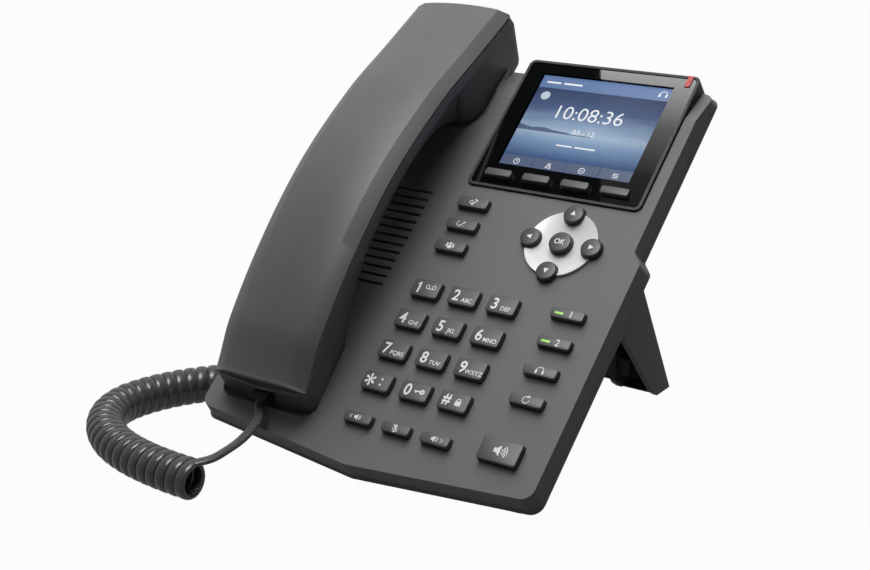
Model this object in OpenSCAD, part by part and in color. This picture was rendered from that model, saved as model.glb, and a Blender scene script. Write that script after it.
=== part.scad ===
// Desk IP phone: leaning case, arched handset in its cradle, curly cord, display head, sprung keys and stand.
// Pieces are drawn in the face frame: X across, Y up the face from the first row of dial keys, Z out of the face
// (0 is the face itself). placed() leans that frame back and sets it on the table. Sizes are in millimetres.

/* [Case] */
// Lean of the face back from the table, degrees
tilt = 41; // [38:1:44]
// Half width of the case at the face
case_half = 83.2; // [82.5:0.1:86]
// Half width of the case beside the display, right side
upper_half = 78.6; // [77.5:0.1:80]
// Distance from the first key row to the tip of the front edge
front_len = 84; // [82.5:0.1:88]
// How far the front edge runs back from its tip to the corners
front_vee = 7.6; // [4:0.2:9]
// Distance from the first key row to the top edge of the case
top_len = 123.5; // [120:0.5:127]
// Height up the face where the top starts to slope back
slope_start = 106; // [104:0.5:108]
// Angle of the sloping top, degrees
slope_angle = 15; // [10:1:16]
// Radius of the front corners
corner_r = 5.5; // [4:0.5:9]
// Height of the front cover's side wall
band_h = 7.4; // [7:0.1:8]
// Height of the rear cover's flared rim
rim_h = 1.8; // [1.4:0.1:2.4]
// How far the side wall leans out over its height
flare = 0.9; // [0.4:0.1:1.2]
// How far the rim leans out over its height
rim_flare = 0.8; // [0.4:0.1:1.2]
// Wall of the moulded covers
wall = 2.2; // [1.8:0.1:2.3]
// Depth of the rear housing behind the face
case_depth = 24; // [23.5:0.1:26]
// Half width of the rear housing at its floor
housing_half = 70; // [67:0.5:71]

/* [Keys] */
// Column pitch of the dial keys
key_pitch_x = 19; // [18:0.1:19.4]
// Row pitch of the dial keys
key_pitch_y = 15.49; // [14:0.1:15.6]
// Height of the key tops above the face
key_top = 2.5; // [1.6:0.1:3]
// Travel of a key
key_travel = 1.2; // [0.6:0.1:1.4]
// Gap around a key in its hole
key_gap = 0.35; // [0.25:0.05:0.5]
// Thickness of the flange that keeps a key in
key_flange = 1; // [0.8:0.1:1.2]
// How far the flange reaches past the key
key_lip = 0.9; // [0.6:0.1:1]
// Radius of the key corners
key_r = 1.2; // [0.6:0.1:1.4]

/* [Display] */
// Width of the display head
head_w = 85; // [83:0.5:86]
// Height of the display head up the face
head_h = 72; // [70:0.5:73]
// Depth of the display head behind the face
head_depth = 9.4; // [8.6:0.1:10]
// How far the head's rim stands above the face
head_proud = 0.8; // [0.4:0.1:1.2]
// Width of the rim around the glass
rim_w = 1.3; // [1:0.1:1.8]
// Groove around the display head
head_gap = 0.5; // [0.3:0.1:0.8]
// Thickness of the display glass
glass_t = 1.6; // [1.2:0.1:2]
// Width of the LCD panel
lcd_w = 69; // [66:0.5:72]
// Height of the LCD panel
lcd_h = 57; // [55:0.5:57.5]
// Thickness of the LCD panel
lcd_t = 3.2; // [2.6:0.1:3.6]

/* [Handset] */
// Distance of the handset's centre line left of the case's
handset_off = 51.6; // [51:0.1:52]
// Half width of the handset's parting line at the mouth end
hand_half_mouth = 25; // [24:0.1:25.2]
// Half width of the handset's parting line at the ear end
hand_half_ear = 26.4; // [25.6:0.1:26.6]
// Drop from the edge of the back to the parting line
hand_chamfer = 4.2; // [3.4:0.1:5]
// Height of the inner shell's straight side
hand_band = 5.7; // [5:0.1:6.4]
// Rise of the crowned back over its edges
hand_crown = 2; // [1:0.1:2.6]
// Underside of the grip above the face
grip_z = 17.5; // [16:0.5:18.5]
// Depth of the ear cup below the face
ear_depth = 11.5; // [10:0.5:12]
// Depth of the mouth cup below the face
mouth_depth = 4; // [3.5:0.1:4.4]
// Gap between the handset and its cups
cup_gap = 0.8; // [0.6:0.1:1]
// Wall of the handset shells
hand_wall = 2; // [1.6:0.1:2.2]
// Lift of the handset off its cups
hand_lift = 60; // [40:5:80]
// Rise of the hook plunger when the handset is lifted
hook_rise = 4; // [3:0.5:4]

/* [Speaker] */
// Radius of the loudspeaker
speaker_r = 25; // [23:0.5:25.5]
// Number of slots in the speaker grille
slot_count = 13; // [9:1:13]
// Pitch of the grille slots
slot_pitch = 4.16; // [3.6:0.02:4.2]
// Height of a grille slot
slot_h = 1.3; // [1:0.1:1.8]
// Length of a grille slot
slot_len = 50; // [40:1:51]

/* [Stand] */
// Half width of the stand
stand_half = 62.6; // [58:0.2:64]
// Width of each leg of the stand
leg_w = 21; // [16:0.5:24]
// Wall of the stand
stand_wall = 2.4; // [2:0.1:3]

/* [Cord] */
// Outer radius of the curly cord's coil
coil_r = 8.2; // [7.4:0.1:8.4]
// Radius of the cord's straight ends
lead_r = 1.8; // [1.4:0.1:1.8]

/* [Hidden] */
DIAL = ["dial_1", "dial_2", "dial_3", "dial_4", "dial_5", "dial_6",
        "dial_7", "dial_8", "dial_9", "dial_star", "dial_0", "dial_hash"];
FUNCTION = ["transfer_key", "hold_key", "conference_key"];
SOFT = ["soft_key_1", "soft_key_2", "soft_key_3", "soft_key_4"];
RIGHT = ["line_key_1", "line_key_2", "headset_key", "redial_key"];
BOTTOM = ["volume_down_key", "mute_key", "volume_up_key"];
NAV = ["nav_right", "nav_up", "nav_left", "nav_down"];
$fn = 48;

arc_steps = 6;                       // straight pieces in a rounded corner
seat = 0.1;                          // gap between fixed pieces that seat on each other
cut = 1;                             // how far a cutter runs past what it cuts
side_h = band_h + rim_h;             // the whole side wall
rim_grow = flare + rim_flare;        // how much wider the rim's lower edge is than the face
corner_y = -(front_len - front_vee); // front corners
jog_low = 32.4;                      // the case narrows between these two heights, on the right
jog_high = 37.3;
jog_r = 3.5;
floor_in = -case_depth + wall;       // inner face of the rear floor
handset_x = -handset_off;
foot_gap = 0.2;                      // the case's front edge stays this far off the table

// the table under the tilted case, and the middle of the whole phone from front to back
lift = (front_len + rim_grow) * sin(tilt) + side_h * cos(tilt) + foot_gap;
function table_z(y) = (-lift - y * sin(tilt)) / cos(tilt);

// ---------- small helpers ----------
function unit(v) = v / norm(v);
function corner(a, b, c, r) =
    let (u = unit(a - b), v = unit(c - b), half = acos(u * v) / 2, o = b + unit(u + v) * r / sin(half),
         p = b + u * r / tan(half) - o, q = b + v * r / tan(half) - o,
         a0 = atan2(p.y, p.x), turn = (atan2(q.y, q.x) - a0 + 540) % 360 - 180)
    [for (i = [0:arc_steps]) o + r * [cos(a0 + turn * i / arc_steps), sin(a0 + turn * i / arc_steps)]];
// a polygon whose corners [x, y, r] are rounded by their own radius
function rounded(p) =
    [for (i = [0:len(p) - 1])
        let (a = p[(i + len(p) - 1) % len(p)], b = p[i], c = p[(i + 1) % len(p)])
        each b[2] > 0 ? corner([a.x, a.y], [b.x, b.y], [c.x, c.y], b[2]) : [[b.x, b.y]]];
function at_height(points, z) = [for (p = points) [p.x, p.y, z]];
// a smooth step from 0 at a to 1 at b
function ease(a, b, y) = let (t = max(0, min(1, (y - a) / (b - a)))) t * t * (3 - 2 * t);
function slope_at(k, i) =
    let (a = max(i - 1, 0), b = min(i + 1, len(k) - 1)) (k[b].y - k[a].y) / (k[b].x - k[a].x);
// a smooth curve through the knots [x, y]
function curve(k, x) =
    let (i = max([for (j = [0:len(k) - 2]) if (j == 0 || k[j].x <= x) j]), h = k[i + 1].x - k[i].x,
         t = (x - k[i].x) / h)
    (2 * t * t * t - 3 * t * t + 1) * k[i].y + (t * t * t - 2 * t * t + t) * h * slope_at(k, i)
    + (3 * t * t - 2 * t * t * t) * k[i + 1].y + (t * t * t - t * t) * h * slope_at(k, i + 1);

// a solid through rings of equally many points, counter-clockwise as seen looking along the loft
module loft(rings) {
    n = len(rings[0]);
    last = (len(rings) - 1) * n;
    polyhedron(points = [for (ring = rings) each ring],
        faces = concat([[for (j = [n - 1:-1:0]) j]], [[for (j = [0:n - 1]) last + j]],
            [for (i = [0:len(rings) - 2]) for (j = [0:n - 1])
                let (a = i * n + j, b = i * n + (j + 1) % n) each [[a, b, b + n], [a, b + n, a + n]]]));
}
// a rectangle with round corners, w wide and h high, round the origin
module round_rect(w, h, r) {
    square([w - 2 * r, h], center = true);
    square([w, h - 2 * r], center = true);
    for (x = [-1, 1]) for (y = [-1, 1]) translate([x * (w / 2 - r), y * (h / 2 - r)]) circle(r);
}
// the same as a solid between z_low and z_high
module tile(w, h, r, z_low, z_high) translate([0, 0, z_low]) linear_extrude(z_high - z_low) round_rect(w, h, r);
// a solid between z_low and z_high whose plan is the given polygon
module slab(points, z_low, z_high) translate([0, 0, z_low]) linear_extrude(z_high - z_low) polygon(points);
// the face frame, leaned back and set on the table
module placed() translate([0, -mid_y, lift]) rotate([tilt, 0, 0]) children();

// ---------- case plan ----------
// plan of the case, grown by g on every side
function case_plan(g, r = corner_r) = rounded([
    [-(case_half + g), corner_y - g, r], [0, -front_len - g, 12], [case_half + g, corner_y - g, r],
    [case_half + g, jog_low + g / 2, jog_r], [upper_half + g, jog_high + g / 2, 1.2],
    [upper_half + g, top_len + g, r * 0.9], [-(case_half + g), top_len + g, r * 0.9]]);
// a slice of the case whose walls lean from grow g_low at z_low to grow g_high at z_high
module case_slice(z_low, g_low, z_high, g_high) {
    loft([at_height(case_plan(g_high), z_high), at_height(case_plan(g_low), z_low)]);
}
// everything above the sloping top, lowered by drop
module above_slope(drop) {
    translate([-2 * case_half, slope_start, -drop]) rotate([-slope_angle, 0, 0]) cube([4 * case_half, 80, 60]);
}

// ---------- keys: [name, x, y, width, height] ----------
dial_x = -3.4;                       // first key column
dial_keys = [for (i = [0:11]) [DIAL[i], dial_x + key_pitch_x * (i % 3), -key_pitch_y * floor(i / 3), 13.6, 8.2]];
function_y = 45.98;                  // top function key
function_pitch = 11.7;
function_keys = [for (i = [0:2]) [FUNCTION[i], dial_x + 0.7, function_y - function_pitch * i, 15.1, 5.4]];
right_x = 64.2;                      // right key column
right_pitch = 13.45;
right_keys = [for (i = [0:3]) [RIGHT[i], right_x, 2.15 - right_pitch * i, 14.9, 4.6]];
bottom_y = -63.99;
bottom_keys = [for (i = [0:2]) [BOTTOM[i], dial_x + key_pitch_x * i, bottom_y, 13.4, 4.6]];
speaker_keys = [["speaker_key", 63.4, -61.35, 17.5, 9.9]];
face_keys = concat(dial_keys, function_keys, right_keys, bottom_keys, speaker_keys);
head_x = 30.3;                       // centre of the display head
head_y = 92.4;
head_low = head_y - head_h / 2;
head_top = head_y + head_h / 2;
soft_pitch = 19.1;
soft_y = head_low + 7;
soft_keys = [for (i = [0:3]) [SOFT[i], head_x + soft_pitch * (i - 1.5), soft_y, 13.2, 3.7]];
nav = [46, 34.45];                   // centre of the navigation keys
nav_reach = 14.5;                    // from the centre to an arrow key
arrow_r = 4.5;
ok_r = 4.95;
nav_ring_r = 16;
nav_points = [for (i = [0:3]) nav + nav_reach * [cos(90 * i), sin(90 * i)]];

flange_top = -wall - 0.15;           // a key's flange waits just under the cover
flange_low = flange_top - key_flange;
foot_low = flange_low - 1.6;         // the key's foot stands in its silicone dome
mat_top = foot_low - key_travel - 0.1;
mat_t = 0.8;
board_top = mat_top - mat_t - seat;
board_t = 1.6;
board_low = board_top - board_t;
foot_r = 1.6;                        // radius of a key's foot
dome_r = foot_r + 1.4;
dome_gap = 0.25;

// a key of plan w x h: cap, flange and foot
module key(k) {
    color([0.3, 0.31, 0.32]) placed() translate([k[1], k[2], 0]) {
        tile(k[3], k[4], key_r, flange_low, key_top);
        tile(k[3] + 2 * key_lip, k[4] + 2 * key_lip, key_r, flange_low, flange_top);
        translate([0, 0, foot_low]) cylinder(r = foot_r, h = flange_low - foot_low);
    }
}
// a soft key stands on its own strip inside the display head
module soft_key(k) {
    color([0.33, 0.34, 0.35]) placed() translate([k[1], k[2], 0]) {
        tile(k[3], k[4], key_r, soft_flange_low, key_top);
        tile(k[3] + 2 * key_lip, k[4] + 2 * key_lip, key_r, soft_flange_low, soft_flange_top);
    }
}
module round_key(p, r) {
    color([0.3, 0.31, 0.32]) placed() translate([p.x, p.y, 0]) {
        translate([0, 0, flange_low]) cylinder(r = r, h = key_top - flange_low);
        translate([0, 0, flange_low]) cylinder(r = r + key_lip, h = key_flange);
        translate([0, 0, foot_low]) cylinder(r = foot_r, h = flange_low - foot_low);
    }
}

// ---------- handset shape, x measured from the handset's own centre line ----------
mouth_y = -67.5;                     // mouth end where it meets the face
ear_y = 142;                         // ear end
ear_low = 89;                      // lower end of the ear bulge
mouth_high = -30;                    // upper end of the mouth bulge
mouth_half = 25.3;                   // half width of the mouth bulge
ear_half = 26;                       // half width of the ear bulge
throat_half = 21;                    // half width of the mouth bulge at its upper end
grip_half = 20.5;                    // half width of the grip's underside
part_gap = 0.2;                      // groove between the two shells
cup_r = 11;                          // corner radius of the ear bulge's lower end and of its cup
ear_z = -ear_depth + 0.3;            // lowest face of the ear bulge
mouth_z = -mouth_depth + 0.3;        // lowest face of the mouth bulge
// the back's edge line [y, z]: an arch, highest over the grip
back_line = [[-72, 12], [-40, 23.1], [0, 31.1], [38, 33.8], [80, 30.3], [112, 23.6], [146, 16.6]];
// the underside's line [y, z] between its two bulges
under_line = [[-40, -5], [-34, -3.7], [-28, 0.8], [-20, 5], [-10, 9.3], [10, 15], [38, 17.5], [58, 16.5], [68, 13.6],
              [76, 9.2], [82, 5], [86, 1.3], [ear_low - 0.2, -2]];
stations = [-72, -66, -58, -48, -40, -34, -30, -26, -20, -14, -8, 0, 10, 22, 38, 50, 58, 64, 70, 75, 79, 83, 86,
            ear_low - 0.2, ear_low + 0.1, 90, 92, 95, ear_low + cup_r - 1, 106, 114, 122, 130, 138, 146];
function back_z(y) = curve(back_line, y);
function part_half(y) = hand_half_mouth + (hand_half_ear - hand_half_mouth) * (y + 60) / 190;
function back_half(y) = part_half(y) - hand_chamfer - 0.6 + 1.2 * ease(-60, 130, y);
function part_z(y) = back_z(y) - hand_chamfer;
function band_z(y) = part_z(y) - hand_band;
function under_z(y) =
    y < -36 ? mouth_z : y > ear_low ? ear_z : max(y < 38 ? mouth_z : ear_z, grip_z - 17.5 + curve(under_line, y));
// the ear bulge's lower end is round in plan, the mouth bulge narrows towards the grip
function under_half(y) =
    y > ear_low ? (let (d = max(0, ear_low + cup_r - y)) ear_half - cup_r + sqrt(cup_r * cup_r - d * d))
    : y > 38 ? grip_half + (ear_half - cup_r + 1 - grip_half) * ease(60, ear_low, y)
    : y > mouth_high ? grip_half + (throat_half - grip_half) * (1 - ease(mouth_high, 10, y))
    : throat_half + (mouth_half - throat_half) * min(1, (mouth_high - y) / (mouth_high - mouth_y - 8));
function mirrored(right) = concat(right, [for (i = [len(right) - 1:-1:0]) [-right[i].x, right[i].y]]);
function ring_at(y, right) = [for (p = mirrored(right)) [handset_x + p.x, y, p.y]];
// rings run counter-clockwise as seen looking up the face: up the right side, then down the left
function outer_ring(y, t) = ring_at(y, [
    [part_half(y) - t, part_z(y) - (t > 0 ? cut : 0)], [part_half(y) - t, part_z(y) + 0.6 - t / 2],
    [back_half(y) - t, back_z(y) - t], [back_half(y) * 0.55, back_z(y) + hand_crown * 0.75 - t],
    [0.01, back_z(y) + hand_crown - t]]);
function inner_ring(y, t) = ring_at(y, [
    [under_half(y) - 2 - t, under_z(y) + t], [under_half(y) - t, under_z(y) + 2 + t * 0.6],
    [part_half(y) + 0.5 - t, band_z(y)], [part_half(y) - t, part_z(y) - part_gap + (t > 0 ? cut : 0)]]);
// plan of the whole handset, drawn in by t
function hand_plan(t) = [for (p = rounded([
    [-27.4 + t, mouth_y - 1.5 + t, 7], [27.4 - t, mouth_y - 1.5 + t, 7],
    [27.4 - t, ear_y + 0.6 - t, 3], [0, ear_y + 1.8 - t, 40], [-27.4 + t, ear_y + 0.6 - t, 3]]))
    [handset_x + p.x, p.y]];
mouth_lean = 8;                      // both ends lean in towards the face
mouth_bow = 2.4;                     // and the mouth end is bowed, its corners this much back from its middle
ear_lean = 23;
ear_lean_z = 7;
// what the leaning ends cut away, t further in
module hand_ends(t) {
    translate([handset_x, mouth_y + t, 0]) rotate([mouth_lean, 0, 0]) translate([0, 0, -40])
        linear_extrude(100) polygon(concat([[45, -30], [-45, -30]],
            [for (x = [-45:6:45]) [x, mouth_bow * min(1.4, x * x / (mouth_half * mouth_half))]]));
    translate([handset_x - 40, ear_y - t, ear_lean_z]) rotate([-ear_lean, 0, 0])
        translate([0, 0, -60]) cube([80, 40, 60]);
}
module handset_outer_shell() {
    color([0.36, 0.37, 0.38]) placed() difference() {
        intersection() {
            loft([for (y = stations) outer_ring(y, 0)]);
            slab(hand_plan(0), 0, 50);
        }
        intersection() {
            loft([for (y = stations) outer_ring(y, hand_wall)]);
            slab(hand_plan(hand_wall), 0, 50);
        }
        hand_ends(0);
    }
}
jack_w = 11;                         // cord jacks and their plugs
jack_h = 9;
jack_len = 14;
plug_w = 7.6;
plug_h = 5.4;
plug_len = 11;
plug_fit = 0.3;
jack_z = 3.2;                        // centre of the handset's jack above the face
cord_hole_w = 10.5;
receiver_y = 112;
mic_y = -41;
module handset_inner_shell() {
    color([0.28, 0.29, 0.3]) placed() difference() {
        intersection() {
            loft([for (y = stations) inner_ring(y, 0)]);
            union() {
                slab(hand_plan(0), 0.6, 50);
                slab(ear_plan(0, top_len + 40), -30, 1);
                slab(mouth_plan(0), -30, 1);
            }
        }
        difference() {
            intersection() {
                loft([for (y = stations) inner_ring(y, hand_wall)]);
                slab(hand_plan(hand_wall), -30, 50);
                translate([handset_x - 40, -80, -30]) cube([80, ear_low - 3 + 80, 80]);
            }
            hand_ends(hand_wall);
        }
        difference() {
            intersection() {
                loft([for (y = stations) inner_ring(y, hand_wall)]);
                slab(hand_plan(hand_wall), -30, 50);
                translate([handset_x - 40, ear_low - 4, -30]) cube([80, 80, 80]);
                union() {
                    slab(ear_plan(-hand_wall, top_len + 40), -30, 20);
                    slab(hand_plan(hand_wall), 10, 50);
                }
            }
            hand_ends(hand_wall);
        }
        hand_ends(0);
        // sound holes over the receiver and the microphone
        for (i = [0:5]) translate([handset_x + 6 * cos(60 * i), receiver_y + 6 * sin(60 * i), ear_z - cut])
            cylinder(r = 1.1, h = hand_wall + 2 * cut);
        translate([handset_x, receiver_y, ear_z - cut]) cylinder(r = 1.1, h = hand_wall + 2 * cut);
        translate([handset_x, mic_y, mouth_z - cut]) cylinder(r = 1, h = hand_wall + 2 * cut);
        // mouth of the cord jack in the end wall
        translate([handset_x - cord_hole_w / 2, mouth_y - 3, jack_z - plug_h / 2 - plug_fit])
            cube([cord_hole_w, 3 + hand_wall + cut + 0.6, plug_h + 2 * plug_fit]);
    }
}
receiver_r = 15;
receiver_h = 7;
module ear_receiver() {
    color([0.2, 0.2, 0.2]) placed() translate([handset_x, receiver_y, ear_z + hand_wall + seat]) {
        cylinder(r = receiver_r, h = receiver_h * 0.6);
        cylinder(r = receiver_r * 0.6, h = receiver_h);
    }
}
module handset_microphone() {
    color("silver") placed() translate([handset_x, mic_y, mouth_z + hand_wall + seat]) cylinder(r = 4.85, h = 5);
}
// a cord jack: a block with a mouth, facing -Y, its front face at the origin
module jack_block() {
    difference() {
        translate([-jack_w / 2, 0, -jack_h / 2]) cube([jack_w, jack_len, jack_h]);
        translate([-plug_w / 2 - plug_fit, -cut, -plug_h / 2 - plug_fit])
            cube([plug_w + 2 * plug_fit, jack_len - 1 + cut, plug_h + 2 * plug_fit]);
    }
}
// a cord plug facing +Y, its cable end at the origin
module plug_body() {
    translate([-plug_w / 2, 0, -plug_h / 2]) cube([plug_w, plug_len, plug_h]);
    translate([-plug_w / 4, 2, plug_h / 2]) cube([plug_w / 2, plug_len - 4, plug_fit * 0.6]);
}
hand_jack_y = mouth_y + hand_wall + 2;
module handset_jack() {
    color([0.12, 0.12, 0.13]) placed() translate([handset_x, hand_jack_y, jack_z]) jack_block();
}
hand_plug_y = mouth_y - 1.5;
module handset_plug() {
    color([0.75, 0.78, 0.8]) placed() translate([handset_x, hand_plug_y, jack_z]) plug_body();
}

// ---------- cups of the cradle ----------
function ear_plan(g, end) = [for (p = rounded([
    [-(ear_half + g), ear_low - g, cup_r], [ear_half + g, ear_low - g, cup_r],
    [ear_half + g, end, 0], [-(ear_half + g), end, 0]])) [handset_x + p.x, p.y]];
function mouth_plan(g) = [for (p = rounded([
    [-(mouth_half + 0.3 + g), mouth_y - 1.2 - g, 6], [mouth_half + 0.3 + g, mouth_y - 1.2 - g, 6],
    [throat_half + 0.6 + g, mouth_high + 1 + g, 7], [-(throat_half + 0.6 + g), mouth_high + 1 + g, 7]]))
    [handset_x + p.x, p.y]];
bevel_w = 3.4;                       // the ear cup's rim is dished by a wide bevel
bevel_h = 2.4;
hook_w = 9;
hook_l = 5;
hook_y = 98;
hook_gap = 0.35;
hook_foot = 1;                       // flange of the hook plunger
hook_low = floor_in + 2;             // lowest face of the plunger, just over its switch

screw_at = [[64, -48.4], [-18.4, -59], [66.5, 46], [-62, 67]];
screw_r = 1.45;
screw_head_r = 2.9;
boss_r = 3.2;
boss_meet = -13.5;                   // where the front and rear bosses meet
counterbore = 6;

speaker_y = 23.5;
speaker_lip = 2;                     // seat ring round the loudspeaker
slot_low = speaker_y - slot_pitch * (slot_count - 1) / 2;

nav_pocket = 1.2;                    // the navigation ring sits in a pocket this deep
module front_cover() {
    color([0.36, 0.37, 0.38]) placed() difference() {
        union() {
            difference() {
                case_slice(-band_h, flare, 0, 0);
                above_slope(0);
                difference() {
                    slab(case_plan(flare - wall), -band_h - cut, -wall);
                    above_slope(wall);
                }
            }
            slab(ear_plan(cup_gap + wall, top_len + 0.6), -ear_depth - wall, -3);
            slab(mouth_plan(cup_gap + wall), -mouth_depth - wall, -1);
            translate([handset_x, speaker_y, -wall - speaker_lip]) difference() {
                cylinder(r = speaker_r + 1.5, h = speaker_lip + 0.5);
                translate([0, 0, -cut]) cylinder(r = speaker_r + 0.2, h = speaker_lip + cut);
            }
            for (p = screw_at) translate([p.x, p.y, boss_meet]) cylinder(r = boss_r, h = -boss_meet - 1);
        }
        // cups
        slab(ear_plan(cup_gap, top_len + 20), -ear_depth, 10);
        hull() {
            slab(ear_plan(cup_gap + bevel_w, top_len + 20), 0, 0.2);
            slab(ear_plan(cup_gap, top_len + 20), -bevel_h, -bevel_h + 0.2);
        }
        slab(mouth_plan(cup_gap), -mouth_depth, 10);
        // hook plunger, grille, keys, navigation ring, display head and screws
        translate([handset_x, hook_y, 0]) tile(hook_w + 2 * hook_gap, hook_l + 2 * hook_gap, 0.6, -30, 0);
        for (i = [0:slot_count - 1])
            translate([handset_x - slot_len / 2, slot_low + slot_pitch * i - slot_h / 2, -wall - cut])
                cube([slot_len, slot_h, wall + 2 * cut]);
        for (k = face_keys) translate([k[1], k[2], 0])
            tile(k[3] + 2 * key_gap, k[4] + 2 * key_gap, key_r + key_gap, -wall - cut, cut);
        translate([nav.x, nav.y, -nav_pocket]) cylinder(r = nav_ring_r + seat, h = nav_pocket + cut);
        for (p = nav_points) translate([p.x, p.y, -wall - cut]) cylinder(r = arrow_r + key_gap, h = wall + 2 * cut);
        translate([nav.x, nav.y, -wall - cut]) cylinder(r = ok_r + key_gap, h = wall + 2 * cut);
        translate([head_x, head_y + 10, 0])
            tile(head_w + 2 * head_gap, head_h + 20 + 2 * head_gap, 3 + head_gap, -band_h - 8, 10);
        for (p = screw_at) translate([p.x, p.y, boss_meet - cut]) cylinder(r = screw_r + 0.05, h = 9 + cut);
    }
}

// ---------- rear cover ----------
housing_top = 117;
housing_side = 76;                   // half width of the housing where it leaves the rim
// side view of the housing [y, z], drawn in by t: it rides level over the table at the front
wedge_clear = 1.4;
function wedge_z(y) = table_z(y) + wedge_clear;
function wedge_y(z) = (-(z - wedge_clear) * cos(tilt) - lift) / sin(tilt);
module housing(t, z_top) {
    intersection() {
        rotate([90, 0, 90]) translate([0, 0, -case_half]) linear_extrude(2 * case_half)
            polygon([[wedge_y(z_top) + 1.2 * t, z_top], [wedge_y(-side_h) + 1.2 * t, -side_h],
                [wedge_y(-case_depth) + 1.2 * t, -case_depth + t], [housing_top - 16, -case_depth + t],
                [housing_top - t, -case_depth + 12], [housing_top - t, z_top]]);
        rotate([90, 0, 0]) translate([0, 0, -2 * top_len]) linear_extrude(4 * top_len)
            polygon([[-housing_half + t, -case_depth], [housing_half - t, -case_depth],
                [housing_side - t, -side_h], [housing_side - t, z_top], [-housing_side + t, z_top],
                [-housing_side + t, -side_h]]);
    }
}
port_low = -38;                      // the recess that the network cables leave through
port_high = -8;
port_left = -14;
port_right = 66;
port_ceiling = -11.5;
rj_w = 15.6;                         // network jack
rj_h = 12.6;
rj_len = 16;
rj_x = [16, 36];
dc_x = 55;
dc_w = 9;
dc_len = 14;
side_jack_y = [-45, -24];
side_jack_z = floor_in + seat + 4.5;  // the side jacks stand on the rear floor
side_jack_x = -71;
post_at = [[-8, -54], [54, -54], [-8, 46], [56, 22]];
post_r = 3;
module rear_cover() {
    color([0.3, 0.31, 0.32]) placed() difference() {
        union() {
            difference() {
                case_slice(-side_h, rim_grow, -band_h - seat, flare);
                above_slope(seat);
                slab(case_plan(-wall - 1), -side_h - cut, 0);
            }
            intersection() {
                slab(case_plan(-0.5), -case_depth - cut, -side_h + 1.4);
                union() {
                    difference() {
                        slab(case_plan(-0.5), -side_h, -side_h + 1.4);
                        housing(wall, 0);
                    }
                    difference() {
                        housing(0, -side_h + 0.6);
                        intersection() {
                            housing(wall, 1);
                            slab(case_plan(-0.5 - wall, corner_r - wall), -40, 2);
                        }
                    }
                    intersection() {
                        housing(0.5, -side_h + 0.6);
                        translate([port_left - wall, port_low - wall, -case_depth - cut])
                            cube([port_right - port_left + 2 * wall, port_high - port_low + 2 * wall,
                                  case_depth + port_ceiling + cut + wall]);
                    }
                }
            }
            for (p = screw_at) translate([p.x, p.y, -case_depth + 1])
                cylinder(r = boss_r + 0.6, h = boss_meet - seat + case_depth - 1);
            for (p = post_at) translate([p.x, p.y, floor_in - 0.5])
                cylinder(r = post_r, h = board_low - seat - floor_in + 0.5);
        }
        // cable recess and the mouths of the jacks in its upper wall
        translate([port_left, port_low, -case_depth - cut])
            cube([port_right - port_left, port_high - port_low, case_depth + port_ceiling + cut]);
        for (x = rj_x) translate([x - rj_w / 2 - plug_fit, port_high - cut, board_low - rj_h - 2 * plug_fit])
            cube([rj_w + 2 * plug_fit, wall + 2 * cut, rj_h + 2 * plug_fit]);
        translate([dc_x - dc_w / 2 - plug_fit, port_high - cut, board_low - rj_h - 2 * plug_fit])
            cube([dc_w + 2 * plug_fit, wall + 2 * cut, rj_h + 2 * plug_fit]);
        for (y = side_jack_y)
            translate([-case_half, y - jack_w / 2 - plug_fit, floor_in])
                cube([case_half + side_jack_x + jack_len, jack_w + 2 * plug_fit, jack_h + seat + plug_fit]);
        // screws
        for (p = screw_at) translate([p.x, p.y, 0]) {
            translate([0, 0, -case_depth - cut]) cylinder(r = screw_r + 0.3, h = case_depth);
            translate([0, 0, -case_depth - cut - 8]) cylinder(r = screw_head_r + 0.4, h = 8 + counterbore + cut);
        }
        // the ear trough of the front cover and the display head pass through the rim
        slab(ear_plan(cup_gap + wall + seat, top_len + 20), -ear_depth - wall - seat, 10);
        translate([head_x, head_y + 10, 0])
            tile(head_w + 2 * head_gap, head_h + 20 + 2 * head_gap, 3 + head_gap, -head_depth - seat, 10);
        // sockets of the stand's hooks
        for (s = [-1, 1])
            translate([s * (stand_half - leg_w / 2) - hook_tab / 2 - 0.25, stand_front + 3, -case_depth - cut])
                cube([hook_tab + 0.5, tab_t + 0.5, wall + 2 * cut]);
    }
}
function rj_low() = board_low - rj_h - 0.1;
module network_jacks() {
    color([0.7, 0.72, 0.74]) placed() for (x = rj_x) translate([x - rj_w / 2, port_high + 0.2, rj_low()])
        difference() {
            cube([rj_w, rj_len, rj_h]);
            translate([(rj_w - 11.9) / 2, -cut, 2.2]) cube([11.9, 12.5 + cut, 7]);
            translate([(rj_w - 6) / 2, -cut, 1]) cube([6, 12.5 + cut, 4]);
        }
}
module power_jack() {
    color([0.1, 0.1, 0.11]) placed() translate([dc_x, port_high + 0.2, rj_low() + rj_h / 2]) {
        difference() {
            translate([-dc_w / 2, 0, -rj_h / 2]) cube([dc_w, dc_len, rj_h]);
            translate([0, -cut, 0]) rotate([-90, 0, 0]) cylinder(r = 2.9, h = 10 + cut);
        }
        translate([0, 1.5, 0]) rotate([-90, 0, 0]) cylinder(r = 1, h = 9);
    }
}
module side_jacks() {
    color([0.12, 0.12, 0.13]) placed() for (y = side_jack_y)
        translate([side_jack_x, y, side_jack_z]) rotate([0, 0, -90]) jack_block();
}
module base_plug() {
    color([0.75, 0.78, 0.8]) placed() translate([side_jack_x - 2.5, side_jack_y[0], side_jack_z])
        rotate([0, 0, -90]) plug_body();
}

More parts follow.
